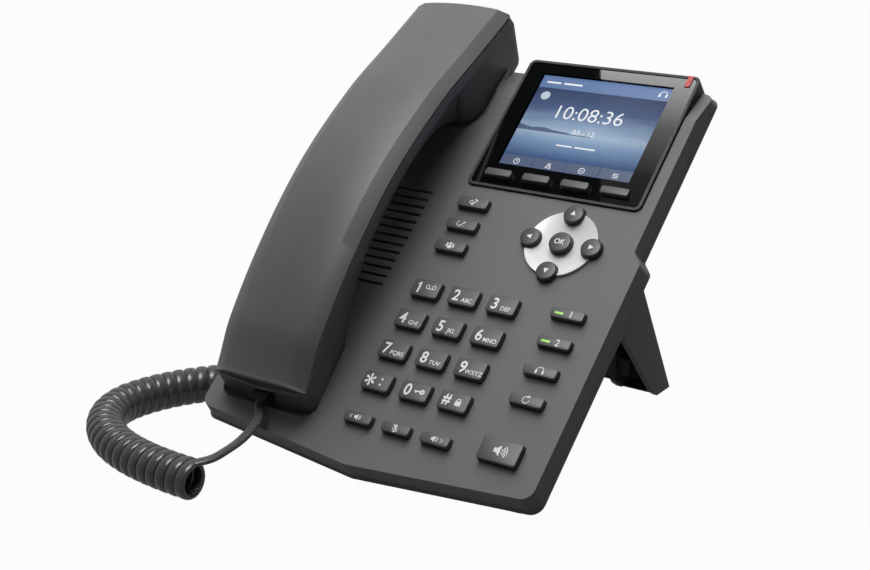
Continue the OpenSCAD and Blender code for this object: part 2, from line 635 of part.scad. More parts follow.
// ---------- inside the case ----------
module keypad_mat() {
    color([0.55, 0.57, 0.58]) placed() difference() {
        union() {
            slab(rounded([[-15, -70, 3], [72.5, -70, 3], [72.5, 53, 3], [-15, 53, 3]]), mat_top - mat_t, mat_top);
            for (k = face_keys) translate([k[1], k[2], mat_top - 0.1]) cylinder(r = dome_r, h = dome_h + 0.1, $fn = 24);
            for (p = nav_points) translate([p.x, p.y, mat_top - 0.1])
                cylinder(r = dome_r, h = dome_h + 0.1, $fn = 24);
            translate([nav.x, nav.y, mat_top - 0.1]) cylinder(r = dome_r, h = dome_h + 0.1, $fn = 24);
        }
        for (k = face_keys) translate([k[1], k[2], mat_top]) cylinder(r = foot_r + dome_gap, h = 5, $fn = 24);
        for (p = nav_points) translate([p.x, p.y, mat_top])
            cylinder(r = foot_r + dome_gap, h = 5, $fn = 24);
        translate([nav.x, nav.y, mat_top]) cylinder(r = foot_r + dome_gap, h = 5, $fn = 24);
        for (p = screw_at) translate([p.x, p.y, -20]) cylinder(r = boss_r + 1, h = 20);
    }
}
dome_h = flange_low - key_travel - 0.1 - mat_top;   // a pressed key's flange stops just over its dome
module main_board() {
    color([0.05, 0.3, 0.15]) placed() {
        difference() {
            slab([[-14, -70], [72.5, -70], [72.5, 53], [-14, 53]], board_low, board_top);
            for (p = screw_at) translate([p.x, p.y, -20]) cylinder(r = boss_r + 1, h = 20);
        }
        translate([20, 20, board_low - 1.4]) cube([14, 14, 1.5]);    // processor and memory
        translate([0, 22, board_low - 1.1]) cube([11, 10, 1.2]);
    }
}
module loudspeaker() {
    color([0.15, 0.15, 0.16]) placed() translate([handset_x, speaker_y, -wall - seat]) rotate([180, 0, 0]) {
        difference() {
            cylinder(r = speaker_r, h = 3);
            translate([0, 0, -cut]) cylinder(r = speaker_r - 3, h = 2 + cut);
        }
        translate([0, 0, 3]) cylinder(r1 = speaker_r - 3, r2 = 13, h = 5);
        translate([0, 0, 8]) cylinder(r = 14, h = 6);
        cylinder(r = 6, h = 3);
    }
}
hook_top = -ear_depth - 0.05;        // pressed flush with the cup's floor by the handset
module hook_plunger() {
    color([0.2, 0.2, 0.21]) placed() translate([handset_x, hook_y, 0]) {
        tile(hook_w, hook_l, 0.5, hook_low, hook_top);
        tile(hook_w + 3, hook_l + 3, 0.5, hook_low, hook_low + hook_foot);
    }
}
module hook_switch() {
    color([0.1, 0.1, 0.1]) placed() translate([handset_x, hook_y, 0])
        tile(6, 6, 0.4, floor_in + seat, hook_low - 0.15);
}

// ---------- display ----------
glass_top = head_proud - 0.3;
glass_low = glass_top - glass_t;
head_wall = 1.6;
head_in_w = head_w - 2 * rim_w;      // the opening that the glass drops into
head_in_h = head_h - 2 * rim_w;
lcd_y = 95;                          // centre of the picture
soft_flange_top = glass_low - 0.15;
soft_flange_low = soft_flange_top - key_flange;
soft_strip_top = soft_flange_low - key_travel - 0.1;
lamp_x = head_x + head_w / 2 - 4.9;
lamp_w = 2.4;
lamp_len = 6;
lamp_gap = 0.5;                      // the display panel keeps this clear of the lamp
module display_housing() {
    color([0.33, 0.34, 0.35]) placed() difference() {
        translate([head_x, head_y, 0]) tile(head_w, head_h, 3, -head_depth, head_proud);
        // pocket for the glass, and the hollow under it
        translate([head_x, head_y, 0]) tile(head_in_w, head_in_h, 2, glass_low - 0.05, head_proud + cut);
        translate([head_x, head_y, 0])
            tile(head_in_w - 2.4, head_in_h - 2.4, 2, -head_depth + head_wall, head_proud + cut);
        // slot of the message lamp
        translate([lamp_x - lamp_w / 2 - 0.05, head_top - lamp_len, -2.2])
            cube([lamp_w + seat, lamp_len + cut, 5]);
        // flat cable to the board
        translate([head_x - 12, head_low + 8, -head_depth - cut]) cube([24, 3, head_wall + 2 * cut]);
    }
}
module display_glass() {
    color([0.05, 0.05, 0.06]) placed() difference() {
        translate([head_x, head_y, 0]) tile(head_in_w - 0.2, head_in_h - 0.2, 1.9, glass_low, glass_top);
        for (k = soft_keys) translate([k[1], k[2], 0])
            tile(k[3] + 2 * key_gap, k[4] + 2 * key_gap, key_r + key_gap, -10, 10);
        translate([lamp_x - lamp_w / 2 - 0.1, head_top - lamp_len - 0.1, -5]) cube([lamp_w + 0.2, 20, 10]);
    }
}
// the display module: its board carries the panel and the soft keys' silicone
lcd_board_top = glass_low - seat - lcd_t;
lcd_board_t = 1.2;
module lcd_panel() {
    color([0.2, 0.3, 0.5]) placed() {
        difference() {
            translate([head_x, lcd_y + 1.6, 0]) tile(lcd_w, lcd_h - 4, 0.4, lcd_board_top - 0.1, glass_low - seat);
            translate([lamp_x - lamp_w / 2 - lamp_gap, head_top - lamp_len - lamp_gap, lcd_board_top])
                cube([40, 40, lcd_t + 1]);
        }
        translate([head_x, soft_y + 0.2, 0]) tile(head_in_w - 8, 7.6, 0.5, lcd_board_top - 0.1, soft_strip_top);
        translate([head_x, head_y, 0]) tile(head_in_w - 4, head_in_h - 4, 1, lcd_board_top - lcd_board_t, lcd_board_top);
        // posts that the board stands on
        for (x = [-1, 1]) for (y = [-1, 1]) translate([head_x + 34 * x, head_y + 29 * y, -head_depth + head_wall + seat])
            cylinder(r = 2, h = lcd_board_top - 0.5 + head_depth - head_wall - seat);
    }
}
module message_lamp() {
    color([0.8, 0.1, 0.1]) placed() translate([lamp_x, head_top - lamp_len / 2 - 0.05, 0])
        slab(rounded([[-lamp_w / 2, -lamp_len / 2, 1.2], [lamp_w / 2, -lamp_len / 2, 1.2],
            [lamp_w / 2, lamp_len / 2 + 0.1, 0], [-lamp_w / 2, lamp_len / 2 + 0.1, 0]]), -2.15, head_proud + 0.1);
}
nav_rim = 1;                         // the ring's rim above the face
nav_dish = 1.2;                      // depth of its dished face
dish_r = (nav_ring_r * nav_ring_r + nav_dish * nav_dish) / (2 * nav_dish);
module nav_ring() {
    color([0.92, 0.93, 0.94]) placed() difference() {
        translate([nav.x, nav.y, -nav_pocket + seat]) cylinder(r = nav_ring_r, h = nav_pocket - seat + nav_rim);
        translate([nav.x, nav.y, nav_rim - nav_dish + dish_r]) sphere(r = dish_r, $fn = 180);
        for (p = nav_points) translate([p.x, p.y, -5]) cylinder(r = arrow_r + key_gap, h = 10);
        translate([nav.x, nav.y, -5]) cylinder(r = ok_r + key_gap, h = 10);
    }
}

// ---------- stand, feet and screws ----------
stand_front = 25;                    // the stand's front and rear edges where it meets the housing
stand_back = 54.8;
foot_back = 36.4;
hook_tab = 12;
tab_t = 2.6;
stand_top = -case_depth - seat;
foot_pad = 1;
function sole_z(y) = table_z(y) + foot_pad / cos(tilt);
foot_front_z = -100;
function stand_side(t) = [
    [stand_front + t, stand_top], [stand_front + t, foot_front_z], [stand_front + 1.6 + t, sole_z(stand_front + 1.6 + t)],
    [foot_back - t, sole_z(foot_back - t)], [stand_back - t, stand_top]];
module stand_prism(points, x0, x1) translate([x0, 0, 0]) rotate([90, 0, 90]) linear_extrude(x1 - x0) polygon(points);
// what is square to the table, inside placed()
module level() rotate([-tilt, 0, 0]) translate([0, mid_y, -lift]) children();
bar_y = 61.5;                        // the feet's bar, in the table's frame
bar_low = 6;
bar_high = 20.4;
cheek_lead = 1.5;                    // the cheeks start this much before the bar
lug_w = 7;
lug_h = 8;
module stand() {
    color([0.27, 0.28, 0.29]) placed() {
        difference() {
            stand_prism(stand_side(0), -stand_half, stand_half);
            // hollow from the front, leaving the sides, the back plate and the inner cheeks of the feet
            difference() {
                stand_prism([[stand_front - cut, stand_top - wall], [stand_front - cut, table_z(stand_front) - 5],
                    [foot_back - stand_wall, sole_z(foot_back) + 4], [stand_back - stand_wall, stand_top - wall]],
                    -stand_half + stand_wall, stand_half - stand_wall);
                for (s = [-1, 1]) level()
                    translate([s * (stand_half - leg_w + stand_wall / 2) - stand_wall / 2 - 0.3, bar_y - cheek_lead, -20])
                        cube([stand_wall + 0.6, 60, bar_high + 20]);
            }
            // the middle is raised off the table and lets the cables through
            stand_prism([[0, stand_top - 66], [80, stand_top - 66], [80, -140], [0, -140]],
                -stand_half + leg_w, stand_half - leg_w);
            translate([0, 0, stand_top - 66]) rotate([-90, 0, 0]) cylinder(r = 14, h = 100);
            // window in the back plate
            translate([-stand_half + leg_w, 0, stand_top - 40]) cube([2 * (stand_half - leg_w), 100, 28]);
        }
        // bar between the cheeks, and a lug beyond each of its ends
        level() translate([-(stand_half - leg_w + 1.1), bar_y, bar_low])
            cube([2 * (stand_half - leg_w + 1.1), stand_wall, bar_high - bar_low - 0.7]);
        for (s = [-1, 1]) level() translate([s * (stand_half - leg_w + stand_wall / 2 + lug_w / 2) - lug_w / 2, bar_y + 1, bar_low + 3])
            cube([lug_w, lug_w - 1, lug_h]);
        // hooks that clip into the housing
        for (s = [-1, 1]) translate([s * (stand_half - leg_w / 2) - hook_tab / 2, stand_front + 3.25, stand_top - 1])
            cube([hook_tab, tab_t, wall + 1 + seat]);
    }
}
pad_r = 5;
module pad(x, y) {
    // feet stand square to the table, so they are drawn level at the table's height
    translate([x, y * cos(tilt) - table_z(y) * sin(tilt) - mid_y, 0]) cylinder(r = pad_r, h = foot_h);
}
foot_h = 1;
module rubber_feet() {
    color([0.08, 0.08, 0.08]) {
        for (s = [-1, 1]) {
            pad(s * 58, -74);
            translate([s * (stand_half - leg_w / 2) - leg_w / 2 + 1.5, 0, 0]) sole_pad();
        }
    }
}
sole_front = 28.5;
module sole_pad() {
    y0 = (sole_front) * cos(tilt) - table_z(sole_front) * sin(tilt) - mid_y;
    y1 = (foot_back - 0.5) * cos(tilt) - table_z(foot_back - 0.5) * sin(tilt) - mid_y;
    translate([0, y0, 0]) cube([leg_w - 3, y1 - y0, foot_pad - 0.02]);
}
module case_screws() {
    color([0.55, 0.55, 0.57]) placed() for (p = screw_at) translate([p.x, p.y, -case_depth + counterbore - 2.1]) {
        difference() {
            cylinder(r = screw_head_r, h = 2);
            translate([0, 0, -cut]) cylinder(r = 1.2, h = 1.2 + cut, $fn = 6);
        }
        cylinder(r = screw_r, h = case_depth - counterbore + boss_meet + 9);
    }
}

// ---------- cord, in the table's frame ----------
coil_z = coil_r + 0.1;
coil_path = [[-39, -131], [-53, -131], [-66, -130], [-80, -127.5], [-94, -122.5], [-106, -114.5],
             [-114.5, -104], [-118, -92.5], [-117, -81], [-113.5, -70], [-108, -59.5], [-100, -49]];
lead_path = [[-51.6, -76.9, 20.45], [-51.6, -78.4, 19.15], [-50.2, -81.8, 18.2], [-46.5, -87.5, 17.9],
             [-42.2, -96, 17.9], [-38.8, -107, 18], [-37, -117, 18.2], [-37.2, -125, 18.3], [-41, -131, 18.3]];
tail_path = [[-100, -49, 18.3], [-95.5, -46.8, 18.4], [-90, -45.4, 19], [-84, -45.2, 20], [-78, -45.3, 20.8],
             [-73.6, -45.3, 20.8]];
function heading(p, i) = unit(p[min(i + 1, len(p) - 1)] - p[max(i - 1, 0)]);
function tube_ring(p, i, r, sides) =
    let (t = heading(p, i), s = unit(cross(t, [0, 0, 1])), n = cross(s, t))
    [for (j = [0:sides - 1]) p[i] + r * (cos(360 * j / sides) * s + sin(360 * j / sides) * n)];
module tube(p, r, sides) loft([for (i = [0:len(p) - 1]) tube_ring(p, i, r, sides)]);
module cord_coil() color([0.2, 0.2, 0.21]) tube([for (p = coil_path) [p.x, p.y, coil_z]], coil_r, 12);
module cord_lead() color([0.2, 0.2, 0.21]) tube(lead_path, lead_r, 8);
module cord_tail() color([0.2, 0.2, 0.21]) tube(tail_path, lead_r, 8);

// middle of the phone from front to back: from the face's front edge to the handset's ear end
ear_tip_y = ear_y - (ear_lean_z - ear_z) * tan(ear_lean);
mid_y = (-front_len * cos(tilt) + ear_tip_y * cos(tilt) - ear_z * sin(tilt)) / 2;

front_cover();
rear_cover();
display_housing();
display_glass();
lcd_panel();
message_lamp();
nav_ring();
keypad_mat();
main_board();
loudspeaker();
hook_plunger();
hook_switch();
handset_outer_shell();
handset_inner_shell();
ear_receiver();
handset_microphone();
handset_jack();
handset_plug();
cord_lead();
cord_coil();
cord_tail();
base_plug();
network_jacks();
side_jacks();
power_jack();
stand();
rubber_feet();
case_screws();
for (k = face_keys) key(k);
for (k = soft_keys) soft_key(k);
for (i = [0:3]) round_key(nav_points[i], arrow_r);
round_key(nav, ok_r);  // ok_key
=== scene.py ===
"""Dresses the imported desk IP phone: camera, cord, handset shells, key caps with their legends, lit display, finishes.

Sizes are written in millimetres in the face frame, as the part's source has them: X across, Y up the face from the
first row of dial keys, Z out of the face. FACE turns that frame into the row frame, in metres.
"""

from __future__ import annotations

import logging
import math
from dataclasses import dataclass
from enum import Enum
from typing import Callable, Sequence

import bmesh
import bpy
from mathutils import Matrix, Vector
from mathutils.bvhtree import BVHTree

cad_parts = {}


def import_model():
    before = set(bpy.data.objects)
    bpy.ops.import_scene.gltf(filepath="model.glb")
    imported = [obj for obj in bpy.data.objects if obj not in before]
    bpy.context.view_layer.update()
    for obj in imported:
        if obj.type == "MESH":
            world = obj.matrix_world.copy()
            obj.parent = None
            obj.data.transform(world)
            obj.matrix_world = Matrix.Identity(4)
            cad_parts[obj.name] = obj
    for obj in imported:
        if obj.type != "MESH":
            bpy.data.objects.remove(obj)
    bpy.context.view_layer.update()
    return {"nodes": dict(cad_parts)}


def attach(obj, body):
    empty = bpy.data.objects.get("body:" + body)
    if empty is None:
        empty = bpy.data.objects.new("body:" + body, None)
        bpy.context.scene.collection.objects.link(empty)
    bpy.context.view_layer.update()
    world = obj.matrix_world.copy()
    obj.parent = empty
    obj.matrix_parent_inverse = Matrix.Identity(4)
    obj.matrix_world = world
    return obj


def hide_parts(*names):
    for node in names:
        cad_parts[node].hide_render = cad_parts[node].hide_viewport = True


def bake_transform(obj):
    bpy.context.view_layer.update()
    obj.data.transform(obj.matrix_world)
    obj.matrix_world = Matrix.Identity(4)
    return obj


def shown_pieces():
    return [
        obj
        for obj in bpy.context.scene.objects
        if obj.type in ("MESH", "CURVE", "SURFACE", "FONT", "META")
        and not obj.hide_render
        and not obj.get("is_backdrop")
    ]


log = logging.getLogger("desk_phone")

Object = bpy.types.Object
Material = bpy.types.Material
NodeSocket = bpy.types.NodeSocket
NodeTree = bpy.types.NodeTree

MM = 0.001
HAIR = 1e-6  # metres: two heights this close are one
Point2 = tuple[float, float]
Point3 = tuple[float, float, float]


# ---------------------------------------------------------------- the face frame and the camera


@dataclass(frozen=True)
class FaceFrame:
    """The leaning face of the phone, in millimetres."""

    tilt: float = 41.0
    lift: float = 63.368
    middle: float = 22.645

    @property
    def matrix(self) -> Matrix:
        """From face frame metres to the row frame."""
        turn = Matrix.Rotation(math.radians(self.tilt), 4, "X")
        return Matrix.Translation((0, -self.middle * MM, self.lift * MM)) @ turn

    @property
    def normal(self) -> Vector:
        """The direction that the face looks in."""
        return self.matrix.to_3x3() @ Vector((0, 0, 1))

    def at(self, x: float, y: float, z: float) -> Vector:
        """The row frame point, in metres, of a face frame point in millimetres."""
        return self.matrix @ Vector((x * MM, y * MM, z * MM))

    def back(self, p: Vector) -> Vector:
        """The face frame point, in millimetres, of a row frame point in metres."""
        return (self.matrix.inverted() @ p) / MM


FACE = FaceFrame()


@dataclass(frozen=True)
class PhotoCamera:
    """The photograph's camera, found from the key rows, the display and the stand's foot."""

    place: Point3 = (0.33187, -0.50012, 0.25667)
    aim: Point3 = (-0.54232, 0.78076, -0.31033)
    lens: float = 60.0
    sensor: float = 36.0
    width: int = 870
    height: int = 570

    @property
    def focal(self) -> float:
        """The lens's length in image points."""
        return max(self.width, self.height) * self.lens / self.sensor

    def build(self) -> None:
        """Adds the camera and makes it the scene's own."""
        data = bpy.data.cameras.new("photo_camera")
        data.lens, data.sensor_width, data.sensor_fit = self.lens, self.sensor, "AUTO"
        data.clip_start, data.clip_end = 0.01, 50.0
        cam = bpy.data.objects.new("photo_camera", data)
        bpy.context.scene.collection.objects.link(cam)
        cam.location = self.place
        cam.rotation_mode = "QUATERNION"
        cam.rotation_quaternion = Vector(self.aim).to_track_quat("-Z", "Y")
        bpy.context.scene.camera = cam

    def axes(self) -> Matrix:
        """The camera's turn, as a 3x3 matrix."""
        return Vector(self.aim).to_track_quat("-Z", "Y").to_matrix()

    def ray(self, x: float, y: float) -> Vector:
        """The direction, in the row frame, that an image point looks along."""
        return (self.axes() @ Vector((x - self.width / 2, self.height / 2 - y, -self.focal))).normalized()

    def shows_at(self, p: Vector) -> Point2:
        """The image point at which a row frame point shows."""
        q = self.axes().transposed() @ (p - Vector(self.place))
        return self.width / 2 + self.focal * q.x / -q.z, self.height / 2 - self.focal * q.y / -q.z

    def meet(self, x: float, y: float, carriers: Sequence[Object]) -> Vector:
        """Where the ray through an image point meets what carries a piece.

        Args:
            x, y: the image point.
            carriers: the finished objects that may carry the piece.

        Returns:
            The row frame point nearest the camera, or the carriers' vertex nearest the ray after a miss.
        """
        start, d = Vector(self.place), self.ray(x, y)
        best: Vector | None = None
        for o in carriers:
            tree = BVHTree.FromPolygons([v.co for v in o.data.vertices], [list(p.vertices) for p in o.data.polygons])
            hit = tree.ray_cast(start, d)[0]
            if hit is not None and (best is None or (hit - start).length < (best - start).length):
                best = hit
        if best is not None:
            return best
        points = [v.co for o in carriers for v in o.data.vertices]
        return min(points, key=lambda p: ((p - start) - d * (p - start).dot(d)).length).copy()


CAMERA = PhotoCamera()


# ---------------------------------------------------------------- shader kit


class Wire:
    """A shader value that Python's operators combine by adding Math nodes."""

    def __init__(self, nodes: Nodes, socket: NodeSocket) -> None:
        """Wraps one output socket of a node tree."""
        self.nodes, self.socket = nodes, socket

    def maths(self, operation: str, *values: Wire | float) -> Wire:
        """One Math node over the values."""
        return self.nodes.node("ShaderNodeMath", {"operation": operation}, dict(enumerate(values)))

    def __add__(self, other: Wire | float) -> Wire:
        """self + other."""
        return self.maths("ADD", self, other)

    __radd__ = __add__

    def __sub__(self, other: Wire | float) -> Wire:
        """self - other."""
        return self.maths("SUBTRACT", self, other)

    def __rsub__(self, other: float) -> Wire:
        """other - self."""
        return self.maths("SUBTRACT", other, self)

    def __mul__(self, other: Wire | float) -> Wire:
        """self * other."""
        return self.maths("MULTIPLY", self, other)

    __rmul__ = __mul__

    def __truediv__(self, other: float) -> Wire:
        """self / other."""
        return self.maths("DIVIDE", self, other)

    def __pow__(self, other: float) -> Wire:
        """self to the power of other."""
        return self.maths("POWER", self, other)

    def __abs__(self) -> Wire:
        """The value without its sign."""
        return self.maths("ABSOLUTE", self)

    def below(self, other: Wire | float) -> Wire:
        """1 where self is less than other, else 0."""
        return self.maths("LESS_THAN", self, other)

    def above(self, other: float) -> Wire:
        """1 where self is greater than other, else 0."""
        return self.maths("GREATER_THAN", self, other)

    def most(self, other: Wire) -> Wire:
        """The larger of self and other."""
        return self.maths("MAXIMUM", self, other)


class Nodes:
    """A node tree that is filled in from empty."""

    def __init__(self, tree: NodeTree) -> None:
        """Empties the tree."""
        self.tree = tree
        tree.nodes.clear()

    def node(self, kind: str, settings: dict, inputs: dict, out: int | str = 0) -> Wire:
        """Adds a node: its type, its settings, then the values or links of its sockets.

        Args:
            kind: the node's type.
            settings: attributes to set first; "stops" holds a colour ramp's (place, colour) pairs.
            inputs: socket name or number to a number, tuple or Wire.
            out: the output socket to hand back.

        Returns:
            The chosen output as a Wire.
        """
        n = self.tree.nodes.new(kind)
        for name, value in settings.items():
            if name == "stops":
                ramp = n.color_ramp
                while len(ramp.elements) < len(value):
                    ramp.elements.new(0.5)
                for e, (place, colour) in zip(ramp.elements, value):
                    e.position, e.color = place, (*colour, 1.0)
            else:
                setattr(n, name, value)
        for name, value in inputs.items():
            if isinstance(value, Wire):
                self.tree.links.new(value.socket, n.inputs[name])
            else:
                n.inputs[name].default_value = value
        return Wire(self, n.outputs[out])

    def end(self, kind: str, shader: Wire) -> None:
        """Adds the output node and leads a shader into it."""
        self.tree.links.new(shader.socket, self.tree.nodes.new(kind).inputs[0])


class Kit(Nodes):
    """The node tree of one material, with a Principled shader at its end."""

    def __init__(self, name: str) -> None:
        """Starts a material.

        Args:
            name: the material's name.
        """
        self.material = bpy.data.materials.new(name)
        self.material.use_nodes = True
        super().__init__(self.material.node_tree)
        self.shader = self.tree.nodes.new("ShaderNodeBsdfPrincipled")
        self.end("ShaderNodeOutputMaterial", Wire(self, self.shader.outputs[0]))

    def set(self, **sockets: float | Point3 | Wire) -> None:
        """Sets sockets of the Principled shader; underscores stand for spaces."""
        for name, value in sockets.items():
            s = self.shader.inputs[name.replace("_", " ")]
            if isinstance(value, Wire):
                self.tree.links.new(value.socket, s)
            else:
                s.default_value = (*value, 1.0) if isinstance(value, tuple) else value

    def place(self) -> Wire:
        """Object coordinates, which are the row frame's on every finished piece."""
        return self.node("ShaderNodeTexCoord", {}, {}, "Object")

    def scaled(self, vector: Wire, scale: Point3, shift: Point3 = (0.0, 0.0, 0.0)) -> Wire:
        """A vector stretched along each axis, then moved."""
        return self.node("ShaderNodeMapping", {}, {"Vector": vector, "Scale": scale, "Location": shift})

    def face_place(self, x: float, y: float) -> Wire:
        """Face frame coordinates in millimetres, from (x, y).

        Args:
            x, y: the face frame point to count from.

        Returns:
            The coordinates as a vector.
        """
        moved = self.node("ShaderNodeVectorMath", {"operation": "SUBTRACT"},
                          {0: self.place(), 1: tuple(FACE.at(x, y, 0))})
        return self.node("ShaderNodeMapping", {"vector_type": "POINT"},
                         {"Vector": moved, "Rotation": (-math.radians(FACE.tilt), 0, 0), "Scale": (1000, 1000, 1000)})

    def split(self, vector: Wire) -> tuple[Wire, Wire]:
        """The first two parts of a vector.

        Args:
            vector: the vector to take apart.

        Returns:
            Its x and its y.
        """
        n = self.tree.nodes.new("ShaderNodeSeparateXYZ")
        self.tree.links.new(vector.socket, n.inputs[0])
        return Wire(self, n.outputs[0]), Wire(self, n.outputs[1])

    def noise(self, scale: float, detail: float = 2.0, rough: float = 0.5, vector: Wire | None = None) -> Wire:
        """Noise from 0 to 1, its scale per metre unless a vector is given."""
        return self.node("ShaderNodeTexNoise", {}, {"Vector": vector or self.place(), "Scale": scale,
                                                    "Detail": detail, "Roughness": rough})

    def blend(self, mask: Wire, a: Wire | Point3, b: Wire | Point3) -> Wire:
        """Colour a where mask is 0 and b where it is 1."""
        pick = {6: a if isinstance(a, Wire) else (*a, 1.0), 7: b if isinstance(b, Wire) else (*b, 1.0)}
        return self.node("ShaderNodeMix", {"data_type": "RGBA", "blend_type": "MIX"}, {0: mask, **pick}, 2)

    def ramp(self, stops: Sequence[tuple[float, Point3]], value: Wire) -> Wire:
        """A colour ramp over a value, from (place, colour) pairs."""
        return self.node("ShaderNodeValToRGB", {"stops": stops}, {0: value})

    def bumped(self, height: Wire, depth_mm: float, edge_mm: float = 0.0) -> Wire:
        """A normal with relief, and with edges softened by edge_mm where that is more than 0.

        Args:
            height: the relief, from 0 to 1.
            depth_mm: how deep the relief is.
            edge_mm: radius of the softened edges.

        Returns:
            The normal.
        """
        inputs: dict = {"Height": height, "Distance": depth_mm * MM, "Strength": 1.0}
        if edge_mm > 0:
            inputs["Normal"] = self.node("ShaderNodeBevel", {"samples": 6}, {"Radius": edge_mm * MM})
        return self.node("ShaderNodeBump", {}, inputs)


def tone(hex_colour: str, factor: float = 1.0) -> Point3:
    """The linear colour of a six-figure hex code, made lighter or darker by factor.

    Args:
        hex_colour: the code's six figures.
        factor: what each part of the colour is multiplied by.

    Returns:
        The colour's three parts.
    """
    values = [int(hex_colour[i:i + 2], 16) / 255 for i in (0, 2, 4)]
    r, g, b = (v / 12.92 if v <= 0.04045 else ((v + 0.055) / 1.055) ** 2.4 for v in values)
    return r * factor, g * factor, b * factor


# ---------------------------------------------------------------- finishes


@dataclass(frozen=True)
class Finish:
    """A finish of the phone: its name, its colour as a hex code, and in each kind how it sets the shader."""

    name: str
    colour: str

    def dress(self, kit: Kit) -> None:
        """Sets the shader's sockets.

        Args:
            kit: the material's node tree.
        """
        raise NotImplementedError

    def material(self) -> Material:
        """Builds the material.

        Returns:
            The finished material.
        """
        kit = Kit(self.name)
        self.dress(kit)
        return kit.material


@dataclass(frozen=True)
class Plastic(Finish):
    """Moulded plastic with spark-eroded grain, faint mottling and softened edges."""

    rough: float = 0.5
    grain_mm: float = 0.35
    grain_depth: float = 0.012
    mottle: float = 0.06
    specular: float = 0.35
    coat: float = 0.0
    edge_mm: float = 0.0

    def dress(self, kit: Kit) -> None:
        """Sets the shader's sockets.

        Args:
            kit: the material's node tree.
        """
        grain = kit.noise(1000 / self.grain_mm, 3.0, 0.55)
        cloud = kit.noise(35.0)
        speck = kit.noise(900 / self.grain_mm, 1.0)
        mask = 0.5 + (cloud - 0.5) * 1.2 + (speck - 0.5) * 0.7
        kit.set(Base_Color=kit.blend(mask, tone(self.colour, 1 - self.mottle), tone(self.colour, 1 + self.mottle)),
                Roughness=self.rough + (grain - 0.5) * 0.12 + (cloud - 0.5) * 0.06,
                Specular_IOR_Level=self.specular, Coat_Weight=self.coat, Coat_Roughness=0.12,
                Normal=kit.bumped(grain, self.grain_depth, self.edge_mm))


@dataclass(frozen=True)
class Rubber(Finish):
    """Soft matte rubber or silicone."""

    rough: float = 0.75

    def dress(self, kit: Kit) -> None:
        """Sets the shader's sockets.

        Args:
            kit: the material's node tree.
        """
        dust = kit.noise(900.0, 3.0)
        kit.set(Base_Color=kit.blend(dust, tone(self.colour, 0.85), tone(self.colour, 1.25)),
                Roughness=self.rough + (dust - 0.5) * 0.2, Specular_IOR_Level=0.3, Normal=kit.bumped(dust, 0.02))


@dataclass(frozen=True)
class Metal(Finish):
    """Drawn or plated sheet metal with fine lines along one axis."""

    rough: float = 0.32

    def dress(self, kit: Kit) -> None:
        """Sets the shader's sockets.

        Args:
            kit: the material's node tree.
        """
        lines = kit.noise(180.0, 3.0, 0.6, kit.scaled(kit.place(), (1.0, 12.0, 12.0)))
        kit.set(Base_Color=kit.blend(lines, tone(self.colour, 0.8), tone(self.colour)), Metallic=1.0,
                Roughness=self.rough + (lines - 0.5) * 0.2, Normal=kit.bumped(lines, 0.006, 0.15))


@dataclass(frozen=True)
class WindowGlass(Finish):
    """The display's front: polished black print with a clear window over the picture."""

    middle: Point2
    size: Point2

    def dress(self, kit: Kit) -> None:
        """Sets the shader's sockets.

        Args:
            kit: the material's node tree.
        """
        x, y = kit.split(kit.face_place(*self.middle))
        window = abs(x).below(self.size[0] / 2) * abs(y).below(self.size[1] / 2)
        smear = kit.noise(60.0, 3.0)
        kit.set(Base_Color=kit.blend(smear, tone(self.colour), tone("101112")), Roughness=0.012 + smear * 0.02,
                Alpha=1 - window * 0.94, Specular_IOR_Level=0.5, Normal=kit.bumped(smear, 0.002, 0.25))


@dataclass(frozen=True)
class Picture(Finish):
    """The lit picture: a dusk sky over water, read from the piece's own UV map. Its motif is a plain one."""

    horizon: float = 0.40
    sky: tuple[tuple[float, str], ...] = ((0.0, "a9bdd2"), (0.16, "8ba3c0"), (0.45, "4b5f86"), (1.0, "232c49"))
    water: tuple[tuple[float, str], ...] = ((0.0, "2c3f66"), (0.35, "3f5a86"), (0.8, "7f9bbd"), (1.0, "a3b9d0"))

    def dress(self, kit: Kit) -> None:
        """Sets the shader's sockets.

        Args:
            kit: the material's node tree.
        """
        uv = kit.node("ShaderNodeUVMap", {"uv_map": "screen"}, {})
        u, v = kit.split(uv)
        cloud = kit.noise(3.0, 4.0, 0.6, kit.scaled(uv, (1.0, 5.0, 1.0)))
        ripple = kit.noise(14.0, 5.0, 0.65, kit.scaled(uv, (1.0, 9.0, 1.0)))
        sky = kit.ramp([(at, tone(c)) for at, c in self.sky],
                       (v - self.horizon) / (1 - self.horizon) + (cloud - 0.5) * 0.25)
        water = kit.ramp([(at, tone(c)) for at, c in self.water], v / self.horizon + (ripple - 0.5) * 0.35)
        ridge = kit.noise(4.0, 3.0, 0.5, kit.scaled(uv, (1.0, 0.0, 1.0), (0.7, 0.0, 0.0)))
        hill = v.above(self.horizon) * v.below(self.horizon - 0.03 + ridge * 0.16 * (1 - u))
        scene = kit.blend(v.above(self.horizon), water, sky)
        scene = kit.blend(hill * 0.8, scene, tone(self.colour))
        scene = kit.blend((abs(u - 0.5) * 1.1) ** 2.0 * 0.7, scene, tone("26304e"))
        kit.set(Base_Color=(0.0, 0.0, 0.0), Roughness=0.4, Specular_IOR_Level=0.1, Emission_Color=scene,
                Emission_Strength=1.0)


@dataclass(frozen=True)
class Lit(Finish):
    """A lit print or lamp: it gives off its own colour, a little uneven."""

    strength: float = 1.0
    base: str = "000000"

    def dress(self, kit: Kit) -> None:
        """Sets the shader's sockets.

        Args:
            kit: the material's node tree.
        """
        kit.set(Base_Color=tone(self.base), Roughness=0.3, Emission_Strength=self.strength,
                Emission_Color=kit.blend(kit.noise(500.0), tone(self.colour, 0.9), tone(self.colour)))


